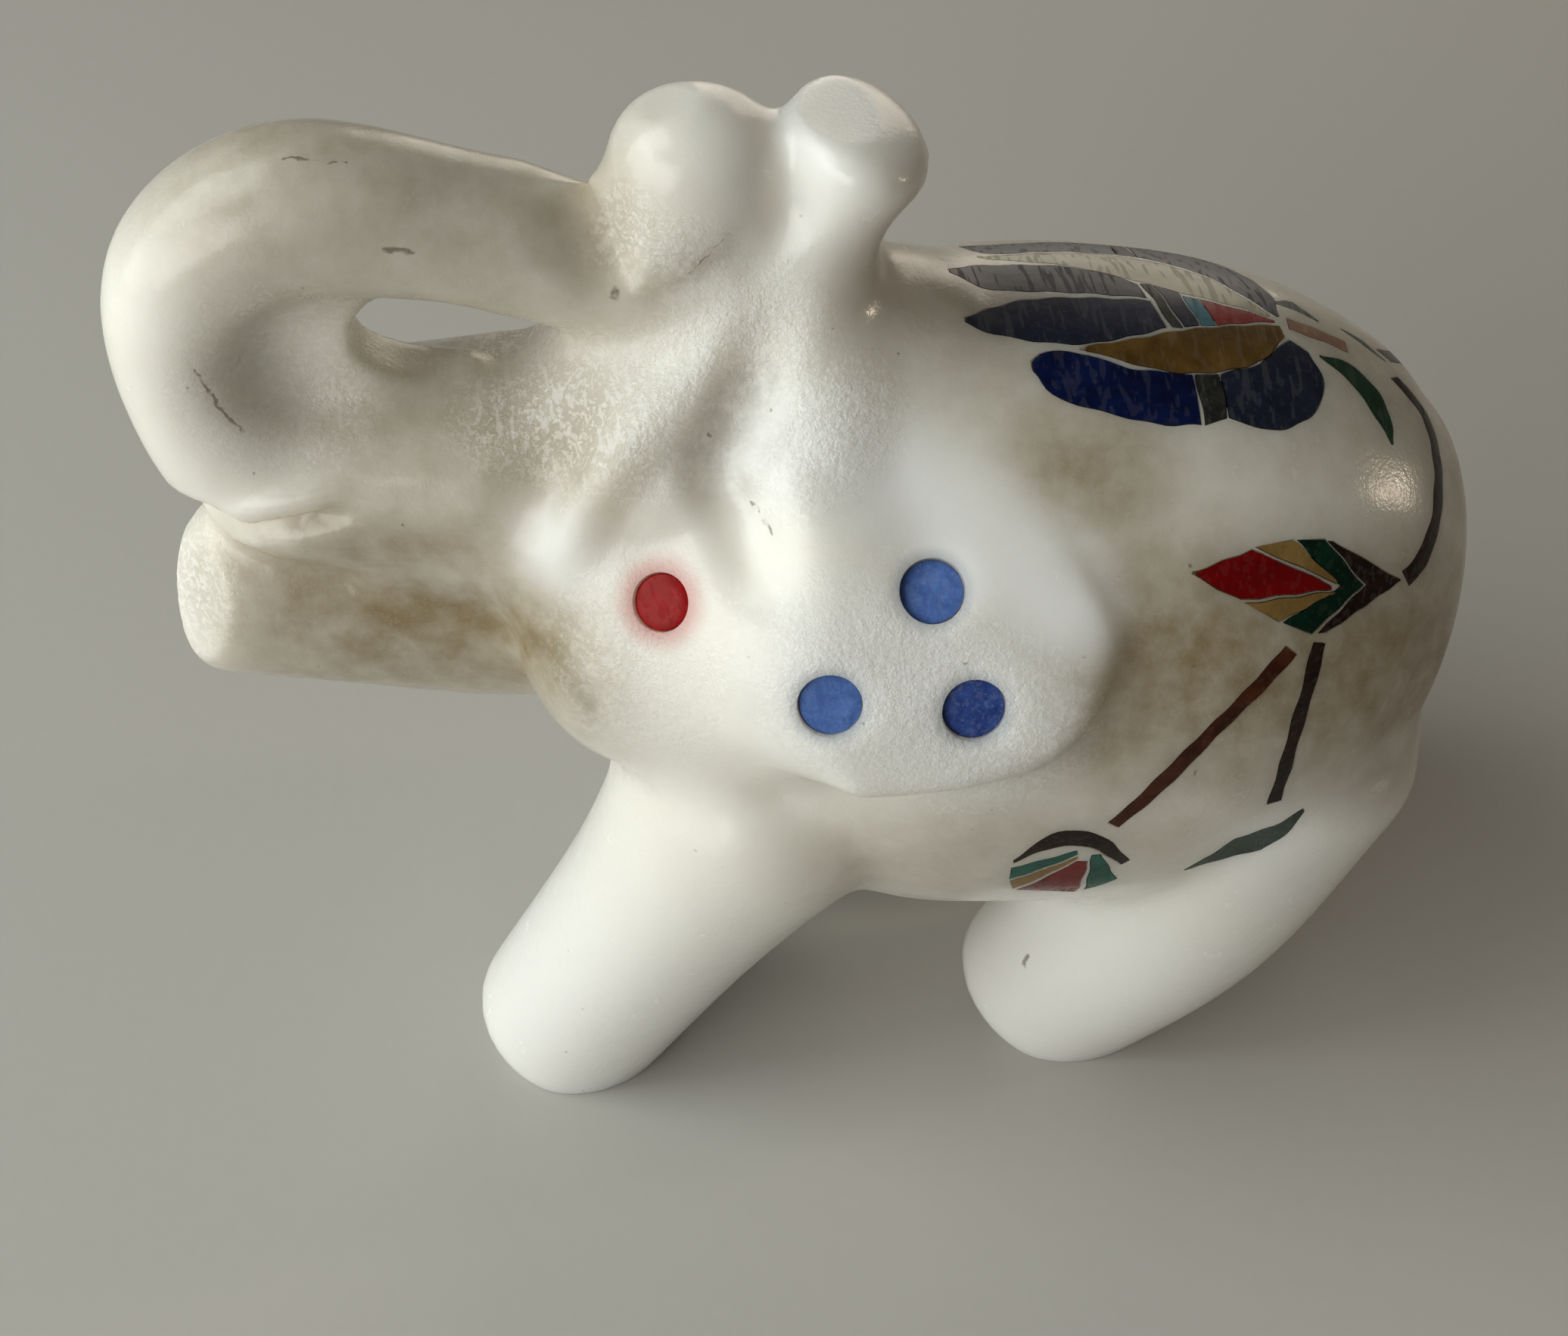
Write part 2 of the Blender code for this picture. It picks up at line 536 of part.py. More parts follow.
def let_in(marble, form):
    """The stones, and the pockets that hold them."""
    tree = BVHTree.FromObject(form, bpy.context.evaluated_depsgraph_get())
    stones = []
    cutters = []
    floor = -STONE_THICKNESS - JOINT
    for name, edges in stone_outlines().items():
        stones.append(slab(name, tree, edges, -JOINT / 2, 0, -STONE_THICKNESS))
        cutters.append(slab(name + "_pocket", tree, edges, JOINT / 2, TOOL_CLEARANCE, floor))
    round_stones = []
    for side_name, side in SIDES.items():
        round_stones.append((f"eye_{side_name}", EYE, side, EYE_DIAMETER, 0))
        for number, place in enumerate(DOTS, 1):
            round_stones.append((f"ear_dot_{side_name}_{number}", place, side, DOT_DIAMETER, -DOT_RECESS))
    for name, place, side, diameter, top in round_stones:
        bottom = top - PLUG_LENGTH
        floor = bottom - JOINT
        stones.append(plug(name, tree, place, side, diameter, 0, top, bottom))
        cutters.append(plug(name + "_pocket", tree, place, side, diameter, JOINT, TOOL_CLEARANCE, floor))
    pockets = bpy.data.collections.new("pockets")
    for cutter in cutters:
        pockets.objects.link(cutter)
    cut = marble.modifiers.new("Pockets", "BOOLEAN")
    cut.operation = "DIFFERENCE"
    cut.operand_type = "COLLECTION"
    cut.collection = pockets
    apply_modifiers(marble)
    for cutter in cutters:
        bpy.data.objects.remove(cutter)
    bpy.data.collections.remove(pockets)
    return stones


def centred(objects, marble):
    """Put the middle of the marble's box over the origin."""
    corners = [Vector(c) for c in marble.bound_box]
    middle = (min(corners, key=sum) + max(corners, key=sum)) / 2
    for obj in objects:
        obj.data.transform(Matrix.Translation((-middle.x, -middle.y, 0)))


def stone_materials():
    made = {}
    for name, (colour, roughness) in STONES.items():
        material = bpy.data.materials.new(name)
        material.use_nodes = True
        shader = material.node_tree.nodes["Principled BSDF"]
        shader.inputs["Base Color"].default_value = (*colour, 1)
        shader.inputs["Roughness"].default_value = roughness
        shader.inputs["Metallic"].default_value = 0
        made[name] = material
    return made


def dress(objects):
    """Give each piece its stone, by the longest name that fits."""
    materials = stone_materials()
    for obj in objects:
        start = max((key for key in MADE_OF if obj.name.startswith(key)), key=len)
        obj.data.materials.clear()
        obj.data.materials.append(materials[MADE_OF[start]])


for old in list(bpy.data.objects):
    bpy.data.objects.remove(old)

form = carved_form()
elephant = thinned(form)
stones = let_in(elephant, form)
bpy.data.objects.remove(form)
elephant.name = "marble_elephant"
centred([elephant] + stones, elephant)
dress([elephant] + stones)
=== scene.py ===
# A small marble elephant with stones let into it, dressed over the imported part.
# Lengths in the settings are millimetres of the real piece; the meshes are in metres.
import math

import bmesh
import bpy
import numpy as np
from mathutils import Matrix, Vector
from mathutils.bvhtree import BVHTree


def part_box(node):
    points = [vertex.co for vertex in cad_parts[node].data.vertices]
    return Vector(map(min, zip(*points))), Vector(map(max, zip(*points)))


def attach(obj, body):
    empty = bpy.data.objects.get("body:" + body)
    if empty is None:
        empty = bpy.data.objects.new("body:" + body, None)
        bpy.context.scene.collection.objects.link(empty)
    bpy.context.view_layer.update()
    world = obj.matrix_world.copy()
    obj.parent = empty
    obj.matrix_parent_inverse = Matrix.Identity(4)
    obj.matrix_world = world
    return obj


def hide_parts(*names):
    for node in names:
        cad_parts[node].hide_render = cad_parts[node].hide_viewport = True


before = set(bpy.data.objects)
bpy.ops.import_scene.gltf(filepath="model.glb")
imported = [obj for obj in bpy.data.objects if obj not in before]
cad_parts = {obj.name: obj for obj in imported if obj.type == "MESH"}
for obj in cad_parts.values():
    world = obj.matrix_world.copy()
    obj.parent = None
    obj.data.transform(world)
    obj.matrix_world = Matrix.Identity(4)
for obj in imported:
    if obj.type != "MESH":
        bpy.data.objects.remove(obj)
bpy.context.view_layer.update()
mm = 0.001
left, right = -1, 1  # the elephant faces -X, so its left is towards -Y
sides = {"left": left, "right": right}
print("frame loaded:", len(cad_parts), "nodes")

# Camera

cameraSettings = {
    "target": (-2.29, 0, 24.3),
    "azimuth": 5,
    "pitch": 45,
    "distance": 125,
    "lens": 46.91,
    "sensorWidth": 36,
}


def placeCamera(s):
    turn, pitch = math.radians(s["azimuth"]), math.radians(s["pitch"])
    ahead = Vector((math.sin(turn) * math.cos(pitch), math.cos(turn) * math.cos(pitch), -math.sin(pitch)))
    across = Vector((math.cos(turn), -math.sin(turn), 0))
    camera = bpy.data.objects.new("camera", bpy.data.cameras.new("camera"))
    camera.data.lens = s["lens"]
    camera.data.sensor_width = s["sensorWidth"]
    camera.data.sensor_fit = "HORIZONTAL"
    camera.data.clip_start = 0.005
    camera.data.clip_end = 5
    axes = Matrix((across, across.cross(ahead), -ahead)).transposed().to_4x4()
    camera.matrix_world = Matrix.Translation((Vector(s["target"]) - ahead * s["distance"]) * mm) @ axes
    bpy.context.scene.collection.objects.link(camera)
    bpy.context.scene.camera = camera


placeCamera(cameraSettings)

# Meshes from numbers


def newObject(name, data):
    piece = bpy.data.objects.new(name, data)
    bpy.context.scene.collection.objects.link(piece)
    return piece


def fromBmesh(name, bm):
    mesh = bpy.data.meshes.new(name)
    bm.to_mesh(mesh)
    bm.free()
    return newObject(name, mesh)


def bmeshOf(piece):
    bm = bmesh.new()
    bm.from_mesh(piece.data)
    return bm


def writeBack(piece, bm):
    bm.to_mesh(piece.data)
    bm.free()


def faceOutwards(bm):
    bmesh.ops.recalc_face_normals(bm, faces=bm.faces)
    if bm.calc_volume(signed=True) < 0:
        bmesh.ops.reverse_faces(bm, faces=bm.faces)


def smoothPath(points, steps):
    pts = np.array(points, float)
    ends = np.vstack([2 * pts[0] - pts[1], pts, 2 * pts[-1] - pts[-2]])
    curve = []
    for a, b, c, d in zip(ends, ends[1:], ends[2:], ends[3:]):
        for k in range(steps):
            t = k / steps
            curve.append(b + 0.5 * t * ((c - a) + t * ((2 * a - 5 * b + 4 * c - d) + t * (3 * (b - c) + d - a))))
    curve.append(pts[-1])
    return np.array(curve)


def skinLoops(name, loops):
    bm = bmesh.new()
    rings = [[bm.verts.new(Vector(p)) for p in loop] for loop in loops]
    for low, high in zip(rings, rings[1:]):
        for k in range(len(low)):
            n = (k + 1) % len(low)
            bm.faces.new((low[k], low[n], high[n], high[k]))
    bm.faces.new(rings[0])
    bm.faces.new(rings[-1])
    faceOutwards(bm)
    return fromBmesh(name, bm)


def keepModifiers(piece):
    graph = bpy.context.evaluated_depsgraph_get()
    mesh = bpy.data.meshes.new_from_object(piece.evaluated_get(graph))
    piece.modifiers.clear()
    piece.data = mesh


# The carved marble

marble = {
    "grain": 0.43,
    "softPasses": 26,
    "earPasses": 8,
    "ring": 32,
    "steps": 8,
    "domeAngles": (20, 40, 58, 74),
    "holeSides": 48,
    "holeDepth": 24,
    "torso": [(-6, 0, 31, 12, 14), (-1, 0, 31.2, 15.5, 17.5), (6, 0, 31.2, 18.3, 19.6), (14, 0, 30.8, 18.8, 20),
              (22, 0, 29.8, 18.6, 19.4), (28, 0, 28.6, 16.7, 17.6), (32, 0, 27.4, 13.5, 15)],
    "trunk": [(-8, 0, 42, 9, 7), (-18, 0, 42.5, 7.5, 5.5), (-27.2, 0, 43.2, 6, 5.3), (-30.6, 0, 49, 5, 4.2),
              (-29.6, 0, 55, 4.8, 4.2), (-24, 0, 58.2, 4.6, 4.2), (-15, 0, 56.2, 4.2, 3.8), (-8, 0, 54.5, 4.4, 4.2),
              (-5, 0, 57, 4.6, 4.8), (-4.4, 0, 60, 4.4, 4.6)],
    "crown": [(-4, 0, 47, 8, 8), (0.3, 0, 54, 5.6, 4.2), (2.3, 0, 57.6, 4.6, 3), (3.6, 0, 60.8, 5.4, 3.9)],
    "jaw": [(-8, 0, 34, 8, 8), (-17, 0, 33, 6.5, 7), (-25, 0, 33.4, 5.8, 5.8), (-32.4, 0, 34.2, 5.3, 5.2)],
    "frontLeg": [(-1, 9, 27, 9, 9), (-7.5, 8.6, 15, 7.2, 6.8), (-15.4, 7.2, 0, 6.3, 6.3)],
    "frontLegBack": [(1, 9, 27, 9, 9), (0, 8.8, 15, 7.2, 6.8), (-4, 8, 0, 6.3, 6.3)],
    "hindLeg": [(26.5, 9, 27, 9.5, 10), (23.3, 9, 13, 8, 7.8), (16.6, 7.4, 0, 6.3, 6.6)],
    "hindLegBack": [(28, 9, 27, 9, 9.5), (28, 9, 13, 8, 7.6), (26, 8, 0, 6.3, 6.6)],
    "mouthCorner": [(-9, 4.5, 41, 6, 6), (-17, 3.3, 41, 4.4, 4.6), (-23, 2.2, 41, 4.1, 3.4)],
    "head": ((-5, 0, 41), (11, 11, 12)),
    "neck": ((4, 0, 39), (12, 13, 14)),
    "cheek": ((-7.6, 6.9, 35.2), (7.8, 7.8, 8.4)),
    "earRoot": ((-1, 9, 36.5), (8.6, 8.6, 9)),
    "haunch": ((28, 6.8, 24), (9, 8.8, 11)),
    "trunkWeb": ((-24, 0, 50), (8, 2.2, 6.5)),
    "trunkHole": ((-18.4, 51.4), (3.9, 2.9)),
    "earOutline": [(-1, 64), (4.5, 71), (9.4, 67), (11.5, 58), (14.7, 42), (15.4, 32), (12, 17), (5, 12.5), (-2, 15),
                   (-3.6, 26), (-2, 46)],
    "earAxis": 29.5,
    "earRadii": (14, 20.6),
}

# Chisel work on one side: path, radius, depth below the surface, or above it where negative
chiselWork = {
    "earFront": ([(-0.8, 4.8, 55.4), (-2.4, 6.6, 51), (-4.3, 8.8, 48), (-3.8, 10.8, 46.4), (-2.6, 13.6, 44)],
                 2.6, 1.2),
    "earDome": ([(1.7, 5.5, 51.9), (0.8, 7.4, 49.8), (0.4, 9.4, 47.6), (1.4, 12.4, 44.8)], 4.6, -0.9),
    "temple": ([(-10.5, 5.8, 49), (-13, 6.8, 46.5), (-14.4, 7.8, 43.5)], 3, 0.7),
    "brow": ([(-4.9, 6.3, 51.1), (-7.1, 7.1, 49.6), (-9.5, 8.1, 47.4), (-11.1, 8.5, 45), (-12.2, 8.8, 42)],
             2.2, -0.9),
    "bowl": ([(-26.8, 2.4, 51.5), (-24.5, 2.2, 50)], 4.5, 0.8),
    "mouth": ([(-32.4, 3.4, 39.8), (-30.9, 5, 41.2), (-27.6, 6.2, 42.6), (-24.8, 6.6, 43.4), (-23.4, 6.6, 43.9)],
              1.1, 1.4),
    "lip": ([(-30.8, 4.6, 42.9), (-27, 5.7, 44.1), (-23.7, 5.8, 44.9)], 1.1, -0.4),
    "jawFold": ([(-14.4, 9.8, 37.2), (-12.8, 12.2, 37.1), (-12, 13.1, 36.1), (-11.9, 12.9, 33.2)], 2.2, 0.22),
    "jawBulge": ([(-17, 8.2, 36), (-16.4, 9.4, 33.5)], 2.4, -0.4),
    "tipFoot": ([(-8.6, 4.3, 55), (-5.5, 4.4, 55.3), (-2.6, 4.2, 57.6)], 1, 0.4),
}
# Faces planed flat on one side: a point on the plane, the way it faces, how far it reaches
planed = {
    "jawEnd": ((-31.2, 4.2, 37), (-0.74, 0.58, 0.34), 7),
    "tipTop": ((-5.5, 0, 63), (-0.22, 0, 0.97), 7),
    "tipFront": ((-8.2, 2.4, 59), (-0.82, 0.55, 0.12), 5),
    "crownTop": ((3.2, 0, 62), (0.1, 0, 0.99), 6),
}
# Places rubbed smooth on one side: path, radius, passes
rubbed = {
    "cheekToEar": ([(-3.5, 14, 45), (-4, 17, 41), (-3.5, 19, 37), (-2.5, 20, 33)], 4.8, 200),
    "cheek": ([(-7, 13, 40.5), (-8, 14.5, 36), (-6.5, 15, 31.5)], 5, 200),
    "underEar": ([(-3, 19, 32), (-1, 19, 28)], 5, 60),
    "earToNeck": ([(4, 5, 53), (6.5, 7.5, 50.5), (10, 8, 49.5)], 6.5, 160),
    "jawToFace": ([(-21, 6.8, 40.5), (-17, 7.2, 40.5), (-12.5, 9, 40)], 5.5, 220),
}
tailWork = ([(37, 0, 36), (38.4, 0, 30), (37.6, 0.6, 24), (35.4, 1.4, 17), (34.6, 2, 14)], 2.4, -1.2)


def limb(name, stations, side=1, domes=(0.3, 0.3)):
    curve = smoothPath([(x, y * side, z, w, h) for x, y, z, w, h in stations], marble["steps"])
    path, width, height = curve[:, :3], curve[:, 3], curve[:, 4]
    along = np.gradient(path, axis=0)
    along /= np.linalg.norm(along, axis=1)[:, None]
    sections = [(path[i], along[i], width[i], height[i]) for i in range(len(path))]
    for end, way, share in ((0, -1, domes[0]), (-1, 1, domes[1])):
        centre, axis, halfWidth, halfHeight = sections[end]
        for angle in marble["domeAngles"]:
            rise = math.sin(math.radians(angle)) * halfHeight * share * way
            size = math.cos(math.radians(angle))
            section = (centre + axis * rise, axis, halfWidth * size, halfHeight * size)
            if way < 0:
                sections.insert(0, section)
            else:
                sections.append(section)
    loops = []
    for centre, axis, halfWidth, halfHeight in sections:
        across = np.array([0, 1, 0]) - axis * axis[1]
        across /= np.linalg.norm(across)
        up = np.cross(axis, across)
        turns = np.linspace(0, 2 * math.pi, marble["ring"], endpoint=False)
        wide, high = across * halfWidth, up * halfHeight
        loops.append([(centre + wide * math.cos(a) + high * math.sin(a)) * mm for a in turns])
    return skinLoops(name, loops)


def ball(name, form, side=1):
    (x, y, z), radii = form
    bm = bmesh.new()
    place = Matrix.LocRotScale(Vector((x, y * side, z)) * mm, None, Vector(radii) * mm)
    bmesh.ops.create_icosphere(bm, subdivisions=4, radius=1, matrix=place)
    return fromBmesh(name, bm)


def ear(name, side):
    outline = smoothPath(marble["earOutline"] + marble["earOutline"][:1], 6)[:-1]
    middle = outline.mean(axis=0)
    inner, outer = marble["earRadii"]
    loops = []
    for spread, radius in ((0.02, inner), (1, inner), (1, outer - 0.7), (0.93, outer), (0.5, outer), (0.02, outer)):
        loop = []
        for x, angle in middle + (outline - middle) * spread:
            turn = math.radians(angle)
            point = (x, side * radius * math.cos(turn), marble["earAxis"] + radius * math.sin(turn))
            loop.append(Vector(point) * mm)
        loops.append(loop)
    return skinLoops(name, loops)


def joined(name, pieces):
    bm = bmesh.new()
    for piece in pieces:
        bm.from_mesh(piece.data)
        bpy.data.objects.remove(piece)
    return fromBmesh(name, bm)


def oneSkin(piece, passes):
    remesh = piece.modifiers.new("one skin", "REMESH")
    remesh.mode = "VOXEL"
    remesh.voxel_size = marble["grain"] * mm
    soften = piece.modifiers.new("soften", "SMOOTH")
    soften.factor = 0.5
    soften.iterations = passes
    keepModifiers(piece)


def cutAway(piece, cutters):
    group = bpy.data.collections.new("cutters")
    for cutter in cutters:
        group.objects.link(cutter)
    cut = piece.modifiers.new("cut", "BOOLEAN")
    cut.operation = "DIFFERENCE"
    cut.operand_type = "COLLECTION"
    cut.collection = group
    keepModifiers(piece)
    for cutter in cutters:
        bpy.data.objects.remove(cutter)
    bpy.data.collections.remove(group)


def trunkHoleCutter():
    (x, z), (halfLength, halfHeight) = marble["trunkHole"]
    bm = bmesh.new()
    place = Matrix.Translation(Vector((x, 0, z)) * mm) @ Matrix.Rotation(math.pi / 2, 4, "X")
    place = place @ Matrix.Diagonal(Vector((halfLength * mm, halfHeight * mm, 1, 1)))
    depth = marble["holeDepth"] * mm
    bmesh.ops.create_cone(bm, cap_ends=True, segments=marble["holeSides"], radius1=1, radius2=1, depth=depth,
                          matrix=place)
    return fromBmesh("holeCutter", bm)


def vertexArray(mesh, field):
    values = np.empty(len(mesh.vertices) * 3)
    mesh.vertices.foreach_get(field, values)
    return values.reshape(-1, 3)


def distanceTo(points, path):
    line = smoothPath(path, 6) if len(path) > 2 else np.array([path[0], path[-1]], float)
    near = np.full(len(points), 1e9)
    for a, b in zip(line, line[1:]):
        span = b - a
        t = np.clip((points - a) @ span / max(span @ span, 1e-9), 0, 1)
        near = np.minimum(near, np.linalg.norm(points - a - t[:, None] * span, axis=1))
    return near


def onSide(path, side):
    return [(x, y * side, z) for x, y, z in path]


def faded(near, radius):
    return np.clip(1 - (near / radius) ** 2, 0, 1) ** 2


def strokeShare(points, path, radius):
    if len(path) == 1:
        return faded(distanceTo(points, path), radius)
    line = smoothPath(path, 6)
    share = np.zeros(len(points))
    for k, (a, b) in enumerate(zip(line, line[1:])):
        lift = math.sin(math.pi * (k + 0.5) / (len(line) - 1)) ** 0.6  # the tool comes in and leaves slowly
        share = np.maximum(share, faded(distanceTo(points, [a, b]), radius) * lift)
    return share


def chisel(mesh, path, radius, depth):
    points = vertexArray(mesh, "co") / mm
    moved = strokeShare(points, path, radius) * depth
    placeVertices(mesh, points - vertexArray(mesh, "normal") * moved[:, None])


def plane(mesh, spot, way, reach):
    points = vertexArray(mesh, "co") / mm
    way = np.array(way) / np.linalg.norm(way)
    proud = (points - spot) @ way
    share = np.clip((reach - np.linalg.norm(points - spot, axis=1)) / reach * 4, 0, 1)
    placeVertices(mesh, points - np.outer(np.maximum(proud, 0) * share, way))


def rub(mesh, path, radius, passes):
    points = vertexArray(mesh, "co") / mm
    share = faded(distanceTo(points, path), radius)
    edges = np.empty(len(mesh.edges) * 2, int)
    mesh.edges.foreach_get("vertices", edges)
    a, b = edges.reshape(-1, 2).T
    near = (share[a] > 0) | (share[b] > 0)
    a, b = np.concatenate([a[near], b[near]]), np.concatenate([b[near], a[near]])
    count = np.maximum(np.bincount(a, minlength=len(points)), 1)[:, None]
    for _ in range(passes):
        middle = np.stack([np.bincount(a, points[b, k], len(points)) for k in range(3)], axis=1) / count
        points += (middle - points) * 0.6 * share[:, None]
    placeVertices(mesh, points)


def placeVertices(mesh, points):
    mesh.vertices.foreach_set("co", (points * mm).ravel())
    mesh.update()


def carvedElephant():
    m = marble
    masses = [
        limb("torso", m["torso"], domes=(0.5, 0.33)),
        limb("trunk", m["trunk"], domes=(0.5, 0.75)),
        limb("crown", m["crown"], domes=(0.3, 0.35)),
        limb("jaw", m["jaw"], domes=(0.3, 0.45)),
        limb("mouthCornerLeft", m["mouthCorner"], left),
        limb("mouthCornerRight", m["mouthCorner"], right),
        limb("frontLegLeft", m["frontLeg"], left),
        limb("frontLegRight", m["frontLegBack"], right),
        limb("hindLegLeft", m["hindLeg"], left),
        limb("hindLegRight", m["hindLegBack"], right),
        ball("head", m["head"]),
        ball("neck", m["neck"]),
        ball("web", m["trunkWeb"]),
    ]
    for side in sides.values():
        masses += [ball(name, m[name], side) for name in ("cheek", "earRoot", "haunch")]
    form = joined("marbleElephant", masses)
    oneSkin(form, m["softPasses"])
    cutAway(form, [trunkHoleCutter()])
    form = joined("marbleElephant", [form] + [ear("ear", side) for side in sides.values()])
    oneSkin(form, m["earPasses"])
    for side in sides.values():
        for path, radius, passes in rubbed.values():
            rub(form.data, onSide(path, side), radius, passes)
        for path, radius, depth in chiselWork.values():
            chisel(form.data, onSide(path, side), radius, depth)
        for spot, way, reach in planed.values():
            plane(form.data, *onSide([spot, way], side), reach)
    chisel(form.data, *tailWork)
    return form


elephant = carvedElephant()
print("marble carved:", len(elephant.data.polygons), "faces")

# The stones' places: S along the back from X = 0, T round the body from the spine

wrap = {"end": 24, "axis": 30, "radius": 19.5, "reach": 64}
fit = {
    "joint": 0.06,  # between a stone and the marble
    "depth": 0.5,
    "clearance": 1.0,  # how far a pocket's cutter stands out of the marble
    "grid": 0.4,
    "stem": 1.2,
    "twig": 0.9,
    "tip": 0.05,  # a stone ends where it gets thinner than this
    "waver": 0.05,
    "search": 100,  # how far a stone looks for the marble
}

lotus = {
    "lotus_bud_left": ([(8.8, 2.2), (10.6, 1.0), (13, 0.3), (19.1, 0.1)],
                       [(8.8, 2.5), (10.6, 3.0), (14.5, 3.6), (17.5, 3.0), (19.6, 2.2)]),
    "lotus_bud_right": ([(8.6, -1.0), (10.4, -0.5), (13, -0.3), (19, -0.1)],
                        [(8.6, -1.3), (10.6, -2.9), (14.5, -3.0), (17.5, -2.2), (18.8, -1.4)]),
    "lotus_bud_joint": ([(19.0, -1.55), (19.9, 2.1)], [(19.6, -1.45), (20.5, 2.1)]),
    "lotus_bud_heel": ([(19.7, -1.4), (20.6, 2.0)], [(20.9, -1.0), (21.5, 1.8)]),
    "lotus_bud_collar": ([(21.1, -0.7), (21.6, 1.8)], [(22.0, -0.5), (22.5, 1.6)]),
    "lotus_bud_heart": ([(22.1, -0.5), (26.2, 0.1)], [(22.6, 1.6), (26.2, 0.3)]),
    "lotus_petal_right": ([(10.6, -4.2), (14.7, -5), (18.5, -5.1), (22.8, -3.6), (26.2, -0.2)],
                          [(10.6, -4), (15, -3.1), (18.5, -1.9), (21.5, -0.9), (26.2, -0.1)]),
    "lotus_petal_left": ([(14.6, 3.8), (17.5, 3.2), (20.3, 2.3), (23, 1.6), (26.4, 0.5)],
                         [(14.6, 3.9), (18.7, 5.1), (21.8, 5), (24.6, 3.8), (26.6, 1.4)]),
    "lotus_lobe_left_front": ([(12, 4.6), (12.8, 4), (14.9, 4.2), (17, 5), (20.4, 5.3)],
                              [(12, 5.2), (13, 6.6), (15.6, 7.6), (18.2, 8.2), (20.4, 8.2)]),
    "lotus_lobe_left_joint": ([(20.5, 5.3), (20.6, 8.2)], [(21.9, 5.1), (21.9, 7.8)]),
    "lotus_lobe_left_rear": ([(22, 5.1), (24.3, 4.2), (26.8, 1.6)],
                             [(22, 7.8), (24.6, 8.3), (27.3, 6.8), (28.3, 4.4), (27.8, 2.4)]),
    "lotus_lobe_right_front": ([(10, -6.2), (11.3, -4.8), (14.7, -5.3), (18.6, -5.4)],
                               [(10, -6.4), (12, -7.2), (15.6, -8), (18.6, -8.2)]),
    "lotus_lobe_right_joint": ([(18.7, -5.4), (18.7, -8.2)], [(19.6, -5.3), (19.6, -8.3)]),
    "lotus_lobe_right_rear": ([(19.7, -5.3), (22, -4.4), (24.3, -2.6), (26.5, -0.3)],
                              [(19.7, -8.3), (22.4, -8.4), (25.4, -6.6), (26.9, -3.2), (26.7, -0.4)]),
    "lotus_leaf_left": ([(28.6, 2.3), (31, 2.2), (32.7, 4), (33.1, 6), (32.9, 8)],
                        [(28.6, 2.5), (30.2, 3.8), (31.4, 5.6), (32.7, 8)]),
    "lotus_leaf_right": ([(26.9, -2.3), (28.4, -3.2), (29.8, -1.7)], [(26.9, -2.1), (28.3, -1.9), (29.7, -1.5)]),
    "lotus_leaf_rear": ([(31.6, -2.2), (33.2, -2), (34.6, -0.6)], [(31.6, -2), (33, -1.1), (34.5, -0.4)]),
}
flank = {
    "flower": ([(19.2, 15.8), (22.4, 14.8), (27.2, 17)], [(19.2, 15.9), (21.7, 17.4), (27.2, 17.2)]),
    "flower_cream_upper": ([(22.6, 14.7), (27.5, 16.9)], [(24.8, 14.4), (27.6, 16.8)]),
    "flower_cream_lower": ([(21.9, 17.6), (27.4, 17.3)], [(23.8, 18.7), (27.5, 17.4)]),
    "flower_collar": ([(25, 14.4), (27.8, 17.1), (24, 18.8)], [(26.8, 14.4), (29.4, 17.1), (25.8, 19.6)]),
    "flower_calyx": ([(27, 14.5), (29.6, 17.1), (26.2, 19.6)], [(27.4, 14.5), (32.6, 17.1), (26.8, 19.7)]),
    "small_bud_calyx": ([(10.8, 34.6), (12.3, 33.2), (14.2, 32.9), (15.4, 33.6), (16.8, 35.4)],
                        [(10.7, 34.2), (12.3, 31.8), (14.1, 31.4), (15.8, 32.6), (17.2, 34.8)]),
    "small_bud_green_front": ([(10.8, 35.2), (14.1, 33.4)], [(10.8, 37), (14.2, 33.9)]),
    "small_bud_cream": ([(10.9, 37.2), (14.2, 34.1)], [(11.2, 38.8), (14.3, 34.4)]),
    "small_bud_red": ([(11.4, 39), (14.3, 34.7)], [(15, 40), (14.9, 34.7)]),
    "small_bud_green_rear": ([(15.4, 39.4), (15, 33.9)], [(16.9, 37.4), (15.5, 33.9)]),
    "low_leaf": ([(20.6, 36.9), (23, 33.8), (26.9, 32.2)], [(20.7, 37), (24.6, 34.9), (27, 32.4)]),
}
stripes = {
    "lotus_stripe": ([(27.1, 0.1), (31.2, 0.4)], "stem", None),
    "stem": ([(33, 17), (34.6, 15.8), (36.4, 12.6), (37.3, 8), (37, 4), (34.8, 1.3)], "stem", sides),
    "twig_front": ([(24.6, 20.4), (20, 25.3), (15.8, 31)], "twig", sides),
    "twig_rear": ([(26.4, 20.2), (25.3, 25.7), (24.8, 31)], "twig", sides),
}


def inwards(s, t):
    bend = max(s - wrap["end"], 0) / wrap["radius"]
    roll = t / wrap["radius"]
    start = Vector((min(s, wrap["end"]), 0, wrap["axis"])) * mm
    return start, Vector((math.sin(bend), -math.cos(bend) * math.sin(roll), math.cos(bend) * math.cos(roll)))


def resampled(edge, count):
    pts = np.array(edge, float)
    if len(edge) > 3:
        pts = smoothPath(edge, 10)
    reach = np.concatenate([[0], np.cumsum(np.linalg.norm(np.diff(pts, axis=0), axis=1))])
    if len(edge) == 3:
        reach = np.array([0, 0.5, 1])  # a lone corner stays sharp, in the middle row
    even = np.linspace(0, reach[-1], count)
    return np.stack([np.interp(even, reach, pts[:, k]) for k in (0, 1)], axis=1)


def squareTo(line):
    along = np.gradient(line, axis=0)
    along /= np.maximum(np.linalg.norm(along, axis=1), 1e-9)[:, None]
    return np.stack([-along[:, 1], along[:, 0]], axis=1)


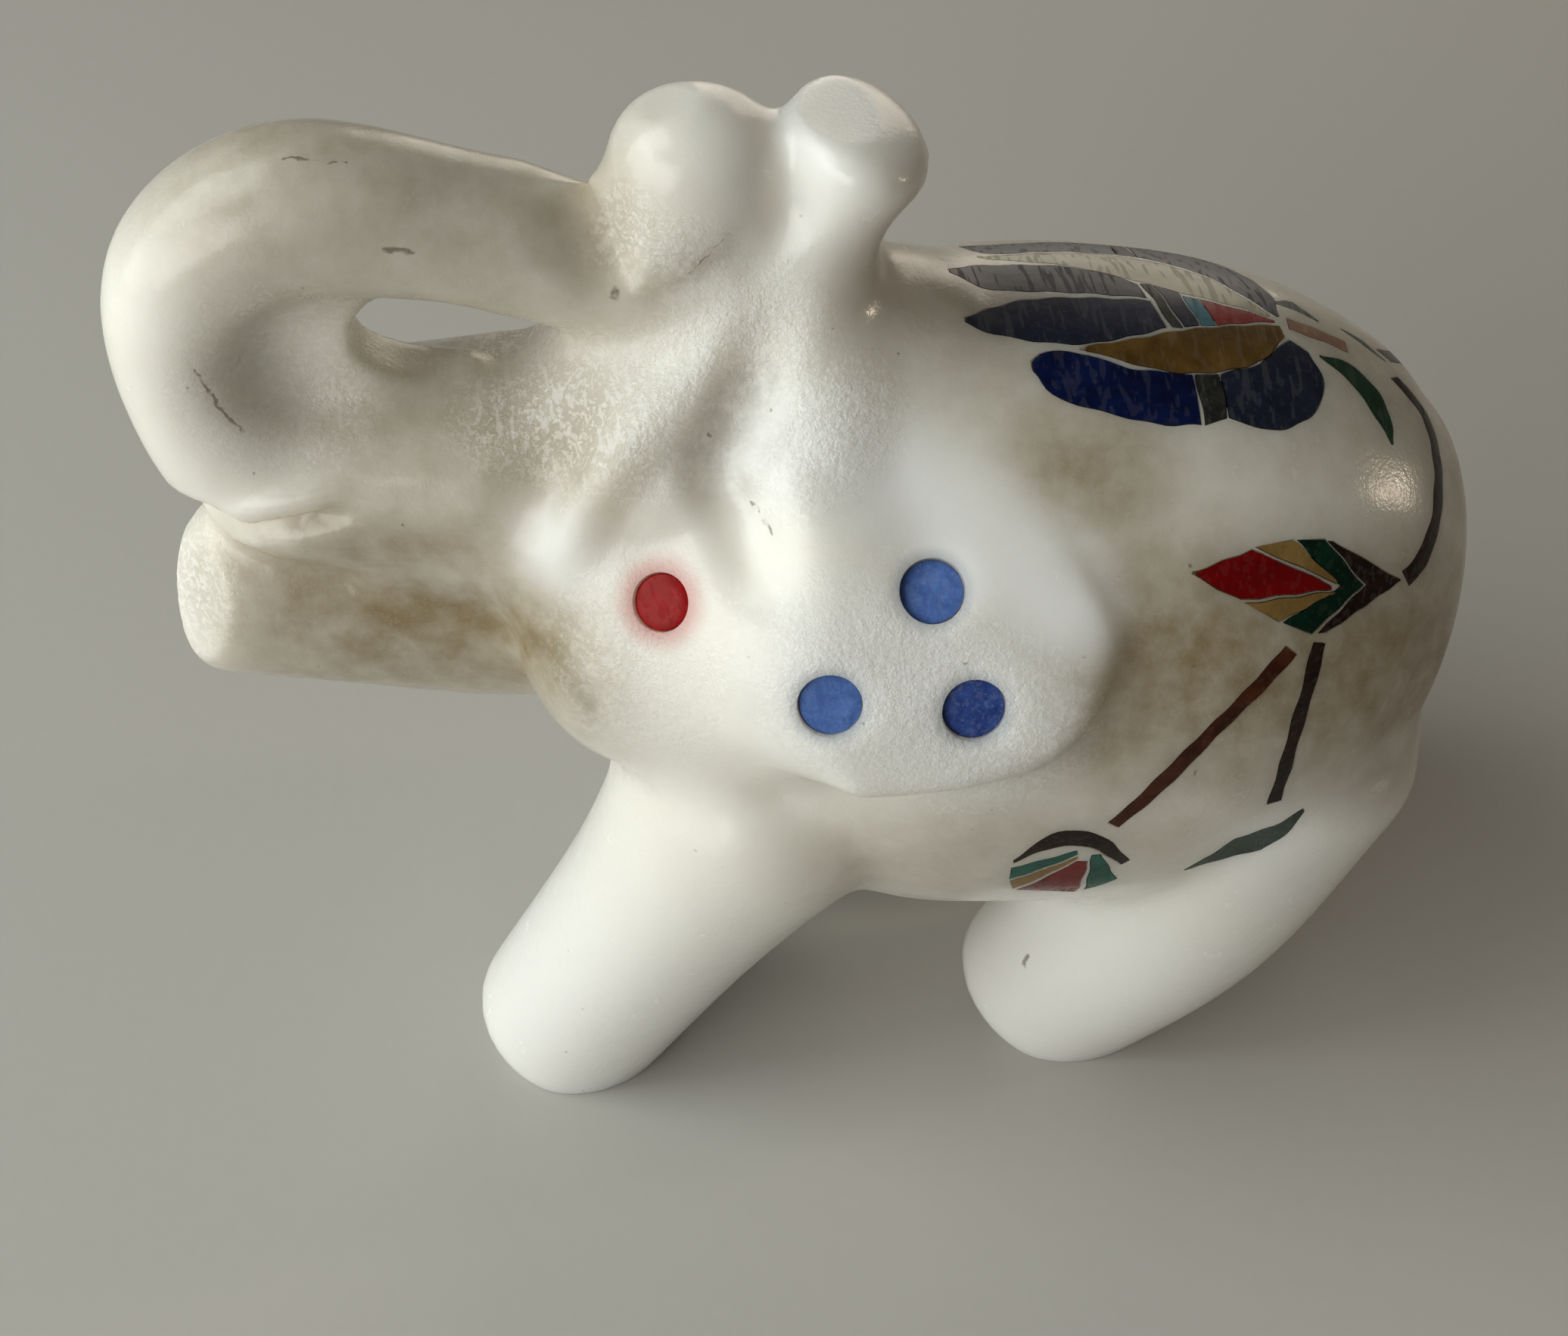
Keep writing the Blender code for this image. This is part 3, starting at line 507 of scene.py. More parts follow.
def movedOut(edge, other, distance):
    square = squareTo(edge)
    return edge + square * np.sign(np.sum(square * (edge - other))) * distance


def stoneRows(edges, grow):
    length = max(np.linalg.norm(np.diff(np.array(e, float), axis=0), axis=1).sum() for e in edges)
    count = 2 * math.ceil(length / fit["grid"] / 2) + 1
    plain = [resampled(edge, count) for edge in edges]
    a, b = movedOut(plain[0], plain[1], grow), movedOut(plain[1], plain[0], grow)
    middle = (a + b) / 2
    for end, inner in ((0, 1), (-1, -2)):
        way = (middle[end] - middle[inner]) / np.linalg.norm(middle[end] - middle[inner])
        a[end] += way * grow
        b[end] += way * grow
    square = squareTo(middle)
    facing = np.sign(np.sum(square * (plain[0] - plain[1])))
    wide = np.nonzero(np.sum(square * (a - b), axis=1) * facing > fit["tip"])[0]
    return handCut(a[wide[0]:wide[-1] + 1]), handCut(b[wide[0]:wide[-1] + 1])


def handCut(points):
    s, t = points[:, 0], points[:, 1]  # the same small waver for a stone and its pocket
    size = fit["waver"]
    return points + np.stack([np.sin(2.3 * t + 1.7 * s) * size, np.sin(2.9 * s - 1.3 * t + 2) * size], axis=1)


def mirrored(edges, side):
    return [[(s, -t * side) for s, t in edge] for edge in edges]


def stripeEdges(path, width):
    fine = smoothPath(path, 4)
    reach = squareTo(fine) * width / 2
    return [(fine + reach).tolist(), (fine - reach).tolist()]


def strip(name, edges, grow, top, bottom):
    a, b = stoneRows(edges, grow)
    columns = max(2, math.ceil(np.linalg.norm(a - b, axis=1).max() / fit["grid"]) + 1)
    loops, ways, levels = [], [], []
    for row in range(len(a)):
        loop = []
        for level, shares in ((top, np.linspace(0, 1, columns)), (bottom, np.linspace(1, 0, columns))):
            for share in shares:
                start, way = inwards(*(a[row] + (b[row] - a[row]) * share))
                loop.append(start + way * wrap["reach"] * mm)
                ways.append(way)
                levels.append(level * mm)
        loops.append(loop)
    piece = skinLoops(name, loops)
    outwards = piece.data.attributes.new("outwards", "FLOAT_VECTOR", "POINT")
    outwards.data.foreach_set("vector", np.array(ways).ravel())
    piece.data.attributes.new("level", "FLOAT", "POINT").data.foreach_set("value", levels)
    return piece


def layOnMarbleTree():
    tree = bpy.data.node_groups.new("lay on marble", "GeometryNodeTree")
    for name, kind in (("Geometry", "Geometry"), ("Marble", "Object"), ("Reach", "Float"), ("Stone", "Material")):
        tree.interface.new_socket(name, in_out="INPUT", socket_type="NodeSocket" + kind)
    tree.interface.new_socket("Geometry", in_out="OUTPUT", socket_type="NodeSocketGeometry")
    given = node(tree, "NodeGroupInput").outputs
    carved = node(tree, "GeometryNodeObjectInfo", {"Object": given["Marble"]}, transform_space="ORIGINAL")
    named = "GeometryNodeInputNamedAttribute"
    out = node(tree, named, {"Name": "outwards"}, data_type="FLOAT_VECTOR").outputs["Attribute"]
    level = node(tree, named, {"Name": "level"}, data_type="FLOAT").outputs["Attribute"]
    inward = node(tree, "ShaderNodeVectorMath", {0: out, "Scale": -1}, operation="SCALE").outputs["Vector"]
    lift = node(tree, "ShaderNodeVectorMath", {0: out, "Scale": level}, operation="SCALE").outputs["Vector"]
    sight = {"Target Geometry": carved.outputs["Geometry"], "Ray Direction": inward, "Ray Length": given["Reach"]}
    hit = node(tree, "GeometryNodeRaycast", sight).outputs["Hit Position"]
    place = vectors(tree, "ADD", hit, lift).outputs["Vector"]
    laid = node(tree, "GeometryNodeSetPosition", {"Geometry": given["Geometry"], "Position": place})
    real = node(tree, "GeometryNodeRealizeInstances", {"Geometry": laid.outputs["Geometry"]})
    finish = {"Geometry": real.outputs["Geometry"], "Material": given["Stone"]}
    finished = node(tree, "GeometryNodeSetMaterial", finish)
    node(tree, "NodeGroupOutput", {"Geometry": finished.outputs["Geometry"]})
    return tree


def socketId(tree, name):
    return next(s.identifier for s in tree.interface.items_tree if s.name == name and s.in_out == "INPUT")


def layOnMarble(piece, tree, material):
    lay = piece.modifiers.new("lay on marble", "NODES")
    lay.node_group = tree
    lay[socketId(tree, "Marble")] = elephant
    lay[socketId(tree, "Reach")] = fit["search"] * mm
    lay[socketId(tree, "Stone")] = material
    keepModifiers(piece)
    for name in ("outwards", "level"):
        piece.data.attributes.remove(piece.data.attributes[name])
    bm = bmeshOf(piece)
    faceOutwards(bm)
    writeBack(piece, bm)


def smoothWithSharpEdges(piece, angle):
    piece.data.shade_smooth()
    piece.data.set_sharp_from_angle(angle=math.radians(angle))


# Finishes


def newMaterial(name):
    material = bpy.data.materials.new(name)
    material.use_nodes = True
    return material, material.node_tree, material.node_tree.nodes["Principled BSDF"]


def node(tree, kind, inputs=None, **values):
    made = tree.nodes.new(kind)
    for key, value in values.items():
        setattr(made, key, value)
    for key, value in (inputs or {}).items():
        if isinstance(value, bpy.types.NodeSocket):
            tree.links.new(value, made.inputs[key])
        else:
            made.inputs[key].default_value = value
    return made


def objectPlace(tree):
    return node(tree, "ShaderNodeTexCoord").outputs["Object"]


def cloud(tree, place, scale, detail=3, rough=0.55, distortion=0):
    inputs = {"Vector": place, "Scale": scale, "Detail": detail, "Roughness": rough, "Distortion": distortion}
    return node(tree, "ShaderNodeTexNoise", inputs).outputs["Fac"]


def ranged(tree, value, low, high, out=(0, 1), smooth=False):
    inputs = {"Value": value, "From Min": low, "From Max": high, "To Min": out[0], "To Max": out[1]}
    kind = "SMOOTHSTEP" if smooth else "LINEAR"
    return node(tree, "ShaderNodeMapRange", inputs, interpolation_type=kind).outputs["Result"]


def sums(tree, operation, a, b, clamp=False):
    return node(tree, "ShaderNodeMath", {0: a, 1: b}, operation=operation, use_clamp=clamp).outputs[0]


def blended(tree, share, a, b):
    colours = [c if isinstance(c, bpy.types.NodeSocket) else (*c, 1) for c in (a, b)]
    inputs = {0: share, 6: colours[0], 7: colours[1]}  # the mixer's factor, and its sockets for colours
    return node(tree, "ShaderNodeMix", inputs, data_type="RGBA").outputs[2]


def painted(tree, name):
    made = node(tree, "ShaderNodeAttribute", attribute_type="GEOMETRY", attribute_name=name)
    return made.outputs["Fac"]


def scratches(tree, place, turn, scale, thin):
    stretched = {"Vector": place, "Rotation": turn, "Scale": (scale, scale * 0.06, scale)}
    drawn = node(tree, "ShaderNodeMapping", stretched).outputs["Vector"]
    lines = cloud(tree, drawn, 1, detail=1, rough=0.4)
    return ranged(tree, lines, thin, thin + 0.05)


def vectors(tree, operation, a, b):
    return node(tree, "ShaderNodeVectorMath", {0: a, 1: b}, operation=operation)


# A share that is 1 on a stroke from start to end, and 0 beyond its width
def nearLine(tree, place, start, end, width):
    along = Vector(end) - Vector(start)
    away = vectors(tree, "SUBTRACT", place, tuple(start)).outputs["Vector"]
    if along.length > 0:
        reach = vectors(tree, "DOT_PRODUCT", away, tuple(along / along.length_squared)).outputs["Value"]
        reach = sums(tree, "ADD", reach, 0, True)
        step = node(tree, "ShaderNodeVectorMath", {0: tuple(along), "Scale": reach}, operation="SCALE")
        away = vectors(tree, "SUBTRACT", away, step.outputs["Vector"]).outputs["Vector"]
    distance = node(tree, "ShaderNodeVectorMath", {0: away}, operation="LENGTH").outputs["Value"]
    return ranged(tree, distance, width * 0.35 * mm, width * mm, (1, 0), True)


marbleFinish = {
    "white": (0.88, 0.87, 0.80),
    "cloudy": (0.76, 0.74, 0.66),
    # painted light: the lighter, cooler tint where the window light falls
    "cool": (0.87, 0.88, 0.86),
    # the marble's aged tan, partly painted shade on the tops, the jaw and the flank behind the ear
    "tan": (0.27, 0.21, 0.115),
    # dark brown of grime and marks, also painted shade in the creases
    "grimeAndShade": (0.10, 0.075, 0.045),
    "sparkle": (0.97, 0.97, 0.94),
    "veinScale": 90,
    "mottleScale": 420,
    "crystalScale": 3000,
    "speckScale": 1600,
    "grimeScale": 900,
    "brokenScale": 1500,
    "shakeScale": 1800,
    "shake": 0.5,  # how far the marks' edges wander
    "dirtAndShadeShare": 0.85,
    "eyeGlow": (0.55, 0.10, 0.08),
    "eyeGlowReach": (1.4, 3.0),
    "dotShade": (0.30, 0.34, 0.38),
    "dotShadeReach": (1.5, 2.4),
    "polish": (0.17, 0.27),
    "sugarRoughness": 0.28,
    "bumpStrength": 0.6,
    "bumpHeight": 0.16,
    "subsurface": 0.75,
    "depth": 3.2,
    "colourDepths": (1.0, 0.82, 0.60),
    "refraction": 1.5,
}
# Dark marks: a path over the surface, and how wide
marks = [
    ([(-5.3, -4.4, 56), (-4.2, -4.4, 57.2), (-3.2, -4.2, 58.4)], 0.1), ([(-9, -4.2, 55), (-8.8, -4.2, 55.5)], 0.23),
    ([(-29.7, -4.5, 52.2), (-29.3, -4.4, 50.8), (-28.9, -4.4, 49.4), (-28.2, -4.2, 48)], 0.13),
    ([(-19.6, -3.9, 58.2), (-18.4, -3.9, 58)], 0.2), ([(14.1, -11.4, 8.6), (14.2, -11.4, 7.8)], 0.23),
    ([(19, -13.9, 43.7)], 0.2), ([(-33.6, -3, 43.5), (-33, -3.6, 42.2)], 0.12), ([(-4.1, -8.1, 48.9)], 0.33),
    ([(-3.2, -12.2, 46), (-3.6, -10.6, 46.6)], 0.16), ([(-24, -2, 62.4), (-21, -2, 62)], 0.1),
]


def marbleMaterial(s, eye, dots, markLines):
    material, tree, shader = newMaterial("waxed white marble")
    place = objectPlace(tree)
    tan, grimeAndShade, sugar, cool = (painted(tree, name) for name in ("tan", "grimeAndShade", "sugar", "cool"))
    # Body of the stone, its tints, and painted light and shade
    veins = ranged(tree, cloud(tree, place, s["veinScale"], 2, 0.6, 0.6), 0.35, 0.7)
    mottle = cloud(tree, place, s["mottleScale"], 2, 0.6)
    tanAndShadeShare = sums(tree, "MULTIPLY", tan, ranged(tree, mottle, 0.3, 0.7, (0.8, 1.1)), True)
    colour = blended(tree, sums(tree, "MULTIPLY", veins, 0.3), s["white"], s["cloudy"])
    # Tan: partly the marble's aged tone, partly painted shade on the tops, the jaw and the flank behind the ear
    colour = blended(tree, tanAndShadeShare, colour, s["tan"])
    # Painted light: lighter and cooler where the window light falls, on the legs, the ear, the crown and the cheek
    colour = blended(tree, cool, colour, s["cool"])
    # White crystals and fine scratches, painted lighter: partly their own colour, partly painted glints
    crystals = cloud(tree, place, s["crystalScale"], 2, 0.8)
    hairs = scratches(tree, place, (0.3, 0.6, 0.5), 2400, 0.60)
    hairs = sums(tree, "MAXIMUM", hairs, scratches(tree, place, (-0.5, -0.4, 1.9), 2000, 0.62))
    glint = sums(tree, "MAXIMUM", ranged(tree, crystals, 0.52, 0.62), sums(tree, "MULTIPLY", hairs, 0.8))
    glint = sums(tree, "MULTIPLY", glint, sums(tree, "ADD", sums(tree, "MULTIPLY", sugar, 0.7), 0.04), True)
    colour = blended(tree, glint, colour, s["sparkle"])
    # Painted glow of the eye's red through the marble round it, and painted shade round the dots
    apart = node(tree, "ShaderNodeSeparateXYZ", {"Vector": place}).outputs
    across = sums(tree, "ABSOLUTE", apart["Y"], 0)
    bothSides = node(tree, "ShaderNodeCombineXYZ", {"X": apart["X"], "Y": across, "Z": apart["Z"]}).outputs[0]
    halos = [(eye, s["eyeGlowReach"], 0.6, s["eyeGlow"])]
    halos += [(dot, s["dotShadeReach"], 0.5, s["dotShade"]) for dot in dots]
    for spot, (inner, outer), strength, tint in halos:
        away = vectors(tree, "DISTANCE", bothSides, spot).outputs["Value"]
        halo = ranged(tree, away, inner * mm, outer * mm, (strength, 0), True)
        colour = blended(tree, halo, colour, tint)
    # Grime and painted shade in the hollows, specks and dark marks
    dirtAndShade = sums(tree, "MULTIPLY", grimeAndShade, ranged(tree, cloud(tree, place, s["grimeScale"], 2, 0.75), 0.3, 0.62), True)
    specks = ranged(tree, cloud(tree, place, s["speckScale"], 1, 0.5), 0.80, 0.84, (0, 0.6))
    dirtAndShade = sums(tree, "MAXIMUM", dirtAndShade, specks)
    wander = {"Vector": place, "Scale": s["shakeScale"], "Detail": 1}
    shaken = node(tree, "ShaderNodeTexNoise", wander).outputs["Color"]
    shaken = vectors(tree, "MULTIPLY_ADD", shaken, (s["shake"] * mm,) * 3)
    centred = vectors(tree, "SUBTRACT", place, (s["shake"] / 2 * mm,) * 3)
    tree.links.new(centred.outputs["Vector"], shaken.inputs[2])
    lines = 0
    for start, end, width in markLines:
        lines = sums(tree, "MAXIMUM", lines, nearLine(tree, shaken.outputs["Vector"], start, end, width))
    broken = ranged(tree, cloud(tree, place, s["brokenScale"], 2), 0.38, 0.52, (0.15, 0.8))
    dirtAndShade = sums(tree, "MAXIMUM", dirtAndShade, sums(tree, "MULTIPLY", lines, broken))
    colour = blended(tree, sums(tree, "MULTIPLY", dirtAndShade, s["dirtAndShadeShare"]), colour, s["grimeAndShade"])
    tree.links.new(colour, shader.inputs["Base Color"])
    # Polished, but dull where the crystals are bare
    polish = ranged(tree, mottle, 0.3, 0.7, s["polish"])
    rough = sums(tree, "ADD", sums(tree, "MULTIPLY", sugar, s["sugarRoughness"]), polish)
    rough = sums(tree, "ADD", rough, sums(tree, "MULTIPLY", glint, 0.25), True)
    tree.links.new(rough, shader.inputs["Roughness"])
    height = sums(tree, "MULTIPLY", crystals, sums(tree, "ADD", sums(tree, "MULTIPLY", sugar, 3), 0.2))
    inputs = {"Height": height, "Strength": s["bumpStrength"], "Distance": s["bumpHeight"] * mm}
    tree.links.new(node(tree, "ShaderNodeBump", inputs).outputs["Normal"], shader.inputs["Normal"])
    shader.subsurface_method = "BURLEY"
    shader.inputs["Subsurface Weight"].default_value = s["subsurface"]
    shader.inputs["Subsurface Radius"].default_value = s["colourDepths"]
    shader.inputs["Subsurface Scale"].default_value = s["depth"] * mm
    shader.inputs["IOR"].default_value = s["refraction"]
    return material


# Each stone's two tones and its flecks, the flecks' share, its grain, how much it is scratched, its roughness
stoneColumns = ("deep", "light", "fleck", "flecks", "cloud", "scratch", "roughness")
stoneFinishes = {
    "lapisBright": ((0.0006, 0.0028, 0.0241), (0.0017, 0.0084, 0.0588), (0.048, 0.06, 0.108), 0.25, 420, 0.022, 0.3),
    "lapisDusty": ((0.0053, 0.0081, 0.0221), (0.013, 0.0175, 0.0365), (0.084, 0.09, 0.102), 0.25, 500, 0.038, 0.36),
    "lapisGrey": ((0.0093, 0.0121, 0.0261), (0.0232, 0.0255, 0.0423), (0.096, 0.096, 0.096), 0.3, 520, 0.043, 0.36),
    "greyFiller": ((0.0079, 0.0085, 0.0091), (0.0251, 0.0251, 0.0223), (0.096, 0.09, 0.072), 0.35, 700, 0.032, 0.42),
    "turquoiseBand": ((0.0242, 0.0914, 0.1183), (0.0456, 0.1464, 0.18), (0.06, 0.06, 0.048), 0.1, 500, 0.016, 0.32),
    "redJasper": ((0.095, 0.0005, 0.0005), (0.1812, 0.0005, 0.0005), (0.18, 0.018, 0.012), 0.1, 400, 0.01, 0.22),
    "heartRed": ((0.1416, 0.0072, 0.0072), (0.2309, 0.0226, 0.0226), (0.27, 0.15, 0.132), 0.2, 500, 0.022, 0.3),
    "eyeRed": ((0.24, 0.001, 0.001), (0.32, 0.002, 0.002), (0.42, 0.03, 0.03), 0.08, 900, 0.01, 0.42),
    "dotBlue": ((0.06, 0.13, 0.4), (0.11, 0.22, 0.56), (0.28, 0.38, 0.66), 0.35, 1400, 0.036, 0.5),
    "dotBlueDeep": ((0.018, 0.045, 0.22), (0.045, 0.1, 0.36), (0.3, 0.38, 0.6), 0.35, 1400, 0.081, 0.42),
    "ochreJasper": ((0.0684, 0.0348, 0.0057), (0.1416, 0.08, 0.0184), (0.06, 0.03, 0.012), 0.2, 350, 0.022, 0.3),
    "paleShell": ((0.2441, 0.2239, 0.15), (0.365, 0.3382, 0.2508), (0.15, 0.12, 0.072), 0.12, 300, 0.013, 0.25),
    "creamShell": ((0.1572, 0.09, 0.0228), (0.2506, 0.1565, 0.049), (0.132, 0.072, 0.024), 0.12, 350, 0.01, 0.22),
    "malachite": ((0.0005, 0.0085, 0.004), (0.0012, 0.0253, 0.013), (0.012, 0.072, 0.042), 0.15, 450, 0.01, 0.22),
    "malachiteBright": ((0.0019, 0.0523, 0.0383), (0.0142, 0.1094, 0.0814), (0.06, 0.18, 0.144), 0.2, 500, 0.013, 0.28),
    "leafGreen": ((0.0021, 0.0212, 0.0077), (0.0094, 0.0447, 0.0184), (0.036, 0.084, 0.048), 0.2, 500, 0.022, 0.3),
    "mossGrey": ((0.0343, 0.0483, 0.0399), (0.0641, 0.0837, 0.0697), (0.12, 0.15, 0.132), 0.3, 450, 0.022, 0.25),
    "brownJasper": ((0.0052, 0.0024, 0.0013), (0.022, 0.0097, 0.0052), (0.072, 0.048, 0.03), 0.25, 600, 0.022, 0.26),
    "rustJasper": ((0.0293, 0.0063, 0.0019), (0.0744, 0.0195, 0.0072), (0.012, 0.006, 0.004), 0.35, 700, 0.016, 0.3),
    "coralPale": ((0.1625, 0.0886, 0.055), (0.2616, 0.1541, 0.1003), (0.3, 0.24, 0.198), 0.2, 600, 0.022, 0.35),
}
stoneGloss = 0.2
scratchColour = (0.5, 0.5, 0.48)


def stoneMaterial(name, s):
    material, tree, shader = newMaterial(name)
    place = objectPlace(tree)
    share = ranged(tree, cloud(tree, place, s["cloud"], 5, 0.65, 0.4), 0.35, 0.65)
    colour = blended(tree, share, s["deep"], s["light"])
    specks = ranged(tree, cloud(tree, place, s["cloud"] * 5, 3, 0.7), 0.56, 0.70, (0, s["flecks"]))
    colour = blended(tree, specks, colour, s["fleck"])
    lines = scratches(tree, place, (0.2, 0.1, 0.35), 2600, 0.60)
    lines = sums(tree, "ADD", lines, scratches(tree, place, (0.4, -0.3, -0.9), 2200, 0.62), True)
    colour = blended(tree, sums(tree, "MULTIPLY", lines, s["scratch"]), colour, scratchColour)
    tree.links.new(colour, shader.inputs["Base Color"])
    rough = sums(tree, "ADD", sums(tree, "MULTIPLY", lines, 0.2), s["roughness"])
    tree.links.new(rough, shader.inputs["Roughness"])
    height = sums(tree, "SUBTRACT", cloud(tree, place, s["cloud"] * 3, 3), sums(tree, "MULTIPLY", lines, 0.5))
    bump = node(tree, "ShaderNodeBump", {"Height": height, "Strength": 0.25, "Distance": 0.00006})
    tree.links.new(bump.outputs["Normal"], shader.inputs["Normal"])
    shader.inputs["Specular IOR Level"].default_value = stoneGloss
    shader.inputs["Subsurface Weight"].default_value = 0.08
    shader.inputs["Subsurface Radius"].default_value = (1, 1, 1)
    shader.inputs["Subsurface Scale"].default_value = 0.4 * mm
    return material


stones = {name: stoneMaterial(name, dict(zip(stoneColumns, row))) for name, row in stoneFinishes.items()}

# Which finish each piece has, by the start of its node's name
finishOf = {
    "eye": "eyeRed", "ear_dot": "dotBlue", "ear_dot_left_3": "dotBlueDeep", "ear_dot_right_3": "dotBlueDeep",
    "lotus_bud": "lapisDusty", "lotus_bud_left": "lapisDusty", "lotus_bud_right": "lapisGrey",
    "lotus_bud_joint": "greyFiller", "lotus_bud_heel": "lapisGrey", "lotus_bud_collar": "turquoiseBand",
    "lotus_bud_heart": "heartRed", "lotus_petal_left": "ochreJasper", "lotus_petal_right": "paleShell",
    "lotus_lobe": "lapisGrey", "lotus_lobe_left_front": "lapisBright", "lotus_lobe_left_joint": "greyFiller",
    "lotus_lobe_left_rear": "lapisDusty", "lotus_lobe_right_joint": "greyFiller",
    "lotus_leaf": "leafGreen", "lotus_leaf_right": "mossGrey", "lotus_leaf_rear": "mossGrey",
    "lotus_stripe": "coralPale", "flower": "redJasper", "flower_cream": "creamShell",
    "flower_collar": "malachite", "flower_calyx": "brownJasper", "small_bud_calyx": "brownJasper",
    "small_bud_green": "malachiteBright", "small_bud_cream": "creamShell", "small_bud_red": "redJasper",
    "low_leaf": "mossGrey", "stem": "brownJasper", "twig_front": "rustJasper", "twig_rear": "brownJasper",
}


def finishName(nodeName):
    return finishOf[max((key for key in finishOf if nodeName.startswith(key)), key=len)]


def pieceName(nodeName):
    first, *rest = nodeName.split("_")
    return first + "".join(word.capitalize() for word in rest) + "Stone"


# Round stones: short turned plugs in drilled holes

roundStones = {
    "eye": (-7.5, 12, 41.6),
    "dots": [(5.9, 14.7, 43.8), (0.5, 18, 39.3), (7.8, 18.4, 38.7)],
    "eyeDiameter": 2.95,
    "dotDiameter": 3.2,
    "eyeDish": (2.4, 0.10),  # radius and depth of the hollow round the hole
    "dotDish": (2.9, 0.30),
    "eyeSunk": 0.04,
    "dotSunk": 0.22,
    "plugLength": 0.8,
    "sides": 48,
    "edge": 0.09,  # worn edge of a plug's top
    "drillRise": 1.5,
}


def turned(name, centre, way, profile, sides):
    turn = way.to_track_quat("Z", "Y").to_matrix()
    loops = []
    for radius, level in profile:
        angles = [2 * math.pi * k / sides for k in range(sides)]
        ring = [Vector((radius * math.cos(a), radius * math.sin(a), level)) for a in angles]
        loops.append([centre + turn @ point * mm for point in ring])
    return skinLoops(name, loops)


def setRoundStones():
    r = roundStones
    places = []
    for sideName, side in sides.items():
        places.append((f"eye_{sideName}", r["eye"], side, r["eyeDiameter"], r["eyeDish"], r["eyeSunk"]))
        for number, spot in enumerate(r["dots"], 1):
            name = f"ear_dot_{sideName}_{number}"
            places.append((name, spot, side, r["dotDiameter"], r["dotDish"], r["dotSunk"]))
    tree = BVHTree.FromObject(elephant, bpy.context.evaluated_depsgraph_get())
    found = []
    for name, (x, y, z), side, diameter, dish, sunk in places:
        centre, way = tree.find_nearest(Vector((x, y * side, z)) * mm)[:2]
        found.append((name, centre, way, diameter / 2, dish, sunk))
    for name, centre, way, radius, dish, sunk in found:
        chisel(elephant.data, [tuple(centre / mm)], *dish)
    pieces, cutters = {}, []
    for name, centre, way, radius, dish, sunk in found:
        top = -sunk - dish[1]
        profile = [(0.05, top), (radius * 0.6, top), (radius - 0.12, top - 0.01), (radius, top - r["edge"]),
                   (radius, top - r["plugLength"])]
        pieces[name] = turned(pieceName(name), centre, way, profile, r["sides"])
        pieces[name].data.materials.append(stones[finishName(name)])
        drillRadius = radius + fit["joint"]
        hole = [(drillRadius, r["drillRise"]), (drillRadius, top - r["plugLength"] - fit["joint"])]
        cutters.append(turned("drill", centre, way, hole, r["sides"]))
    return pieces, cutters


def stoneOutlines():
    outlines = dict(lotus)
    for sideName, side in sides.items():
        for name, edges in flank.items():
            outlines[f"{name}_{sideName}"] = mirrored(edges, side)
    for name, (path, width, where) in stripes.items():
        edges = stripeEdges(path, fit[width])
        if where is None:
            outlines[name] = edges
            continue
        for sideName, side in where.items():
            outlines[f"{name}_{sideName}"] = mirrored(edges, side)
    return outlines


def setFlatStones():
    tree = layOnMarbleTree()
    pieces, cutters = {}, []
    for name, edges in stoneOutlines().items():
        pieces[name] = strip(pieceName(name), edges, -fit["joint"] / 2, 0, -fit["depth"])
        layOnMarble(pieces[name], tree, stones[finishName(name)])
        pocket = strip("pocket", edges, fit["joint"] / 2, fit["clearance"], -fit["depth"] - fit["joint"])
        layOnMarble(pocket, tree, None)
        cutters.append(pocket)
    return pieces, cutters


# The marks' points, brought onto the carved surface
def snappedMarks():
    tree = BVHTree.FromObject(elephant, bpy.context.evaluated_depsgraph_get())
    lines = []
    for path, width in marks:
        points = [tree.find_nearest(Vector(spot) * mm)[0] for spot in path]
        lines += [(a, b, width) for a, b in zip(points, points[1:] or points)]
    return lines


markLines = snappedMarks()
roundPieces, drills = setRoundStones()
flatPieces, pockets = setFlatStones()
setStones = {**roundPieces, **flatPieces}
print("stones shaped:", len(setStones))
cutAway(elephant, drills + pockets)
print("pockets cut:", len(elephant.data.polygons), "faces")


def flatSoles(piece):
    bm = bmeshOf(piece)
    everything = bm.verts[:] + bm.edges[:] + bm.faces[:]
    cut = bmesh.ops.bisect_plane(bm, geom=everything, plane_co=(0, 0, 0), plane_no=(0, 0, 1), clear_inner=True)
    bmesh.ops.holes_fill(bm, edges=[e for e in cut["geom_cut"] if isinstance(e, bmesh.types.BMEdge)])
    bmesh.ops.triangulate(bm, faces=bm.faces)
    writeBack(piece, bm)


flatSoles(elephant)
